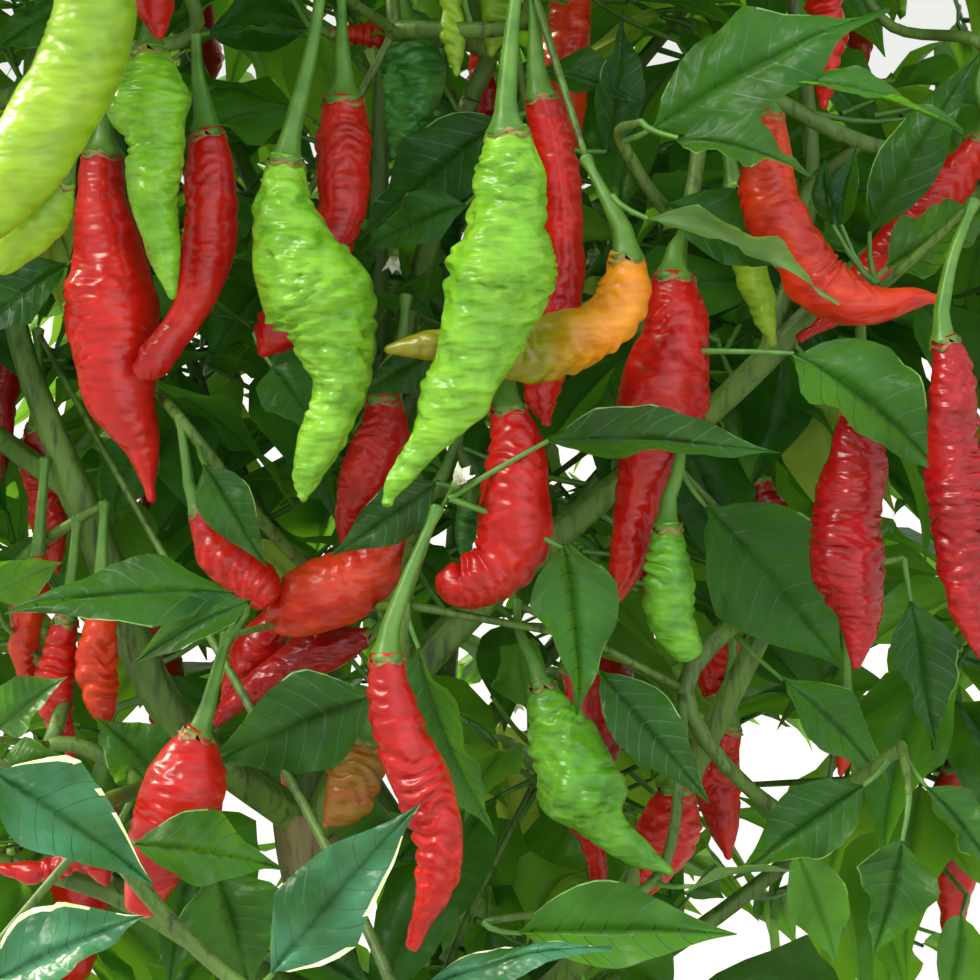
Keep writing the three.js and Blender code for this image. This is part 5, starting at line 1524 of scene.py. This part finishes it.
for number, (name, group) in enumerate(grown.items()):
    roll = dice(5000 + number * 91)
    twigs, leaves, stalks, petals = Pile(), Pile(), Pile(), Pile()
    putTwigs(twigs, name, group)
    for item in group["leaves"]:
        hero, start = item.get("hero", False), item["from"]
        # painted light: leaves high up or far back are dealt the dark tone less often
        low = paintedLightRule["from"] if start[2] > paintedLightRule["up"] or start[1] > paintedLightRule["back"] else 0
        tone = item.get("look") or dealt(toneShares, min(roll() * (1 - low) + low, 1))
        item["near"] = inSight(start)
        putLeaf(leaves, item, tone, roll, hero)
        putPetiole(twigs, item, 1, 6 if hero else 4)
    for place, heading in frontBlossom.get(name, []):
        putBlossom(petals, stalks, at(*place), spot(*heading), number)
    for k, points in enumerate(group["shoots"]):
        if k % blossomEvery == blossomEvery // 2:
            putBlossom(petals, stalks, points[-1] + spot(0, 0, -6), spot(roll() - 0.5, roll() - 0.8, -0.9), k)
    colours = {}
    for index, item in enumerate(group["fruits"]):
        if index < len(frontPucker.get(name, ())):
            item["pucker"] = frontPucker[name][index]
        hero = item.get("hero", False)
        colour = item.get("colour") or dealt(colourShares, roll())
        pile = colours.setdefault(colour, Pile())
        large = hero and item["wide"] > fruitMesh["largeFrom"]
        rings, sides = fruitMesh["large" if large else ("front" if hero else "far")]
        putFruit(pile, item, rings, sides, number * 20 + index + 1)
        putStalk(stalks, item, 20 if hero else 10, index)
    pieces = [("twigs_" + name, twigs, [made["barkYoung"], made["petioleGreen"]], "green_stem"),
              ("leaves_" + name, leaves, leafSet, "leaf"),
              ("stalks_" + name, stalks, [made["stalkGreen"], made["calyxRim"]], "stalk"),
              ("blossom_" + name, petals, [made["petalWhite"], made["antherPale"]], "petal")]
    for colour, pile in colours.items():
        material, slot = fruitKinds[colour]
        pieces.append((colour + "_fruit_" + name, pile, [made[material]], slot))
    for pieceName, pile, materials, slot in pieces:
        if pile.count:
            piece = makePiece(pieceName, pile, materials)
            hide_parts(name)

# floor, light and camera
studio = {
    "floor": "#B2AFA9", "floorWide": 60, "light": "#E8EEF4", "below": 1.25, "above": 1.6,
    "backdrop": "#F4F4F1", "backdropLevel": 0.95,
}
floorMesh = bpy.data.meshes.new("floor")
corner = studio["floorWide"] / 2
corners = [(-corner, -corner, 0), (corner, -corner, 0), (corner, corner, 0), (-corner, corner, 0)]
floorMesh.from_pydata(corners, [], [(0, 1, 2, 3)])
floor = bpy.data.objects.new("floor", floorMesh)
bpy.context.scene.collection.objects.link(floor)
material, tree = newMaterial("paintedFloor")
paint = addNode(tree, "ShaderNodeBsdfPrincipled", {"Base Color": linear(studio["floor"]), "Roughness": 0.8})
floorMesh.materials.append(finished(material, paint.outputs["BSDF"]))

world = bpy.data.worlds.new("studio")
bpy.context.scene.world = world
world.use_nodes = True
tree = world.node_tree
tree.nodes.clear()
place = addNode(tree, "ShaderNodeTexCoord").outputs["Generated"]
up = addNode(tree, "ShaderNodeSeparateXYZ", None, {"Vector": place}).outputs["Z"]
level = addNode(tree, "ShaderNodeMapRange", {"From Min": -0.3, "From Max": 0.9, "To Min": studio["below"],
                                             "To Max": studio["above"]}, {"Value": up}, clamp=True)
dim = addNode(tree, "ShaderNodeBackground", {"Color": linear(studio["light"])},
              {"Strength": level.outputs["Result"]})
seen = addNode(tree, "ShaderNodeBackground", {"Color": linear(studio["backdrop"]),
                                              "Strength": studio["backdropLevel"]})
rays = addNode(tree, "ShaderNodeLightPath")
mix = addNode(tree, "ShaderNodeMixShader", None,
              {0: rays.outputs["Is Camera Ray"], 1: dim.outputs["Background"], 2: seen.outputs["Background"]})
addNode(tree, "ShaderNodeOutputWorld", None, {"Surface": mix.outputs["Shader"]})

lamps = {  # kind, place in m, size in m or angle in degrees, power, colour
    "keyLight": ("SUN", (-1.1, -0.8, 2.0), 20, 2.9, "#FFF8EC"),
    "backLight": ("SUN", (-1.2, 0.55, 1.3), 5, 4.5, "#FFF3D6"),
    "fillLight": ("AREA", (0.7, -1.6, 0.6), 1.6, 10, "#EAF2FF"),
}
for name, (kind, place, size, power, colour) in lamps.items():
    lamp = bpy.data.lights.new(name, kind)
    if kind == "SUN":
        lamp.angle = math.radians(size)
    else:
        lamp.size = size
    lamp.energy, lamp.color = power, linear(colour)[:3]
    light = bpy.data.objects.new(name, lamp)
    light.location = place
    light.rotation_euler = (Vector((0, 0, 0.5)) - Vector(place)).to_track_quat("-Z", "Y").to_euler()
    bpy.context.scene.collection.objects.link(light)

cameraData = bpy.data.cameras.new("camera")
cameraData.sensor_width = eye["sensor"]
cameraData.lens = eye["sensor"] * eye["away"] / eye["frameWidth"]
cameraData.clip_start = 0.05
camera = bpy.data.objects.new("camera", cameraData)
camera.location = eyePlace * metre
camera.rotation_euler = (math.radians(90 - eye["down"]), 0, 0)
bpy.context.scene.collection.objects.link(camera)
bpy.context.scene.camera = camera
bpy.context.scene.view_settings.view_transform = "Standard"
print("stage: studio")
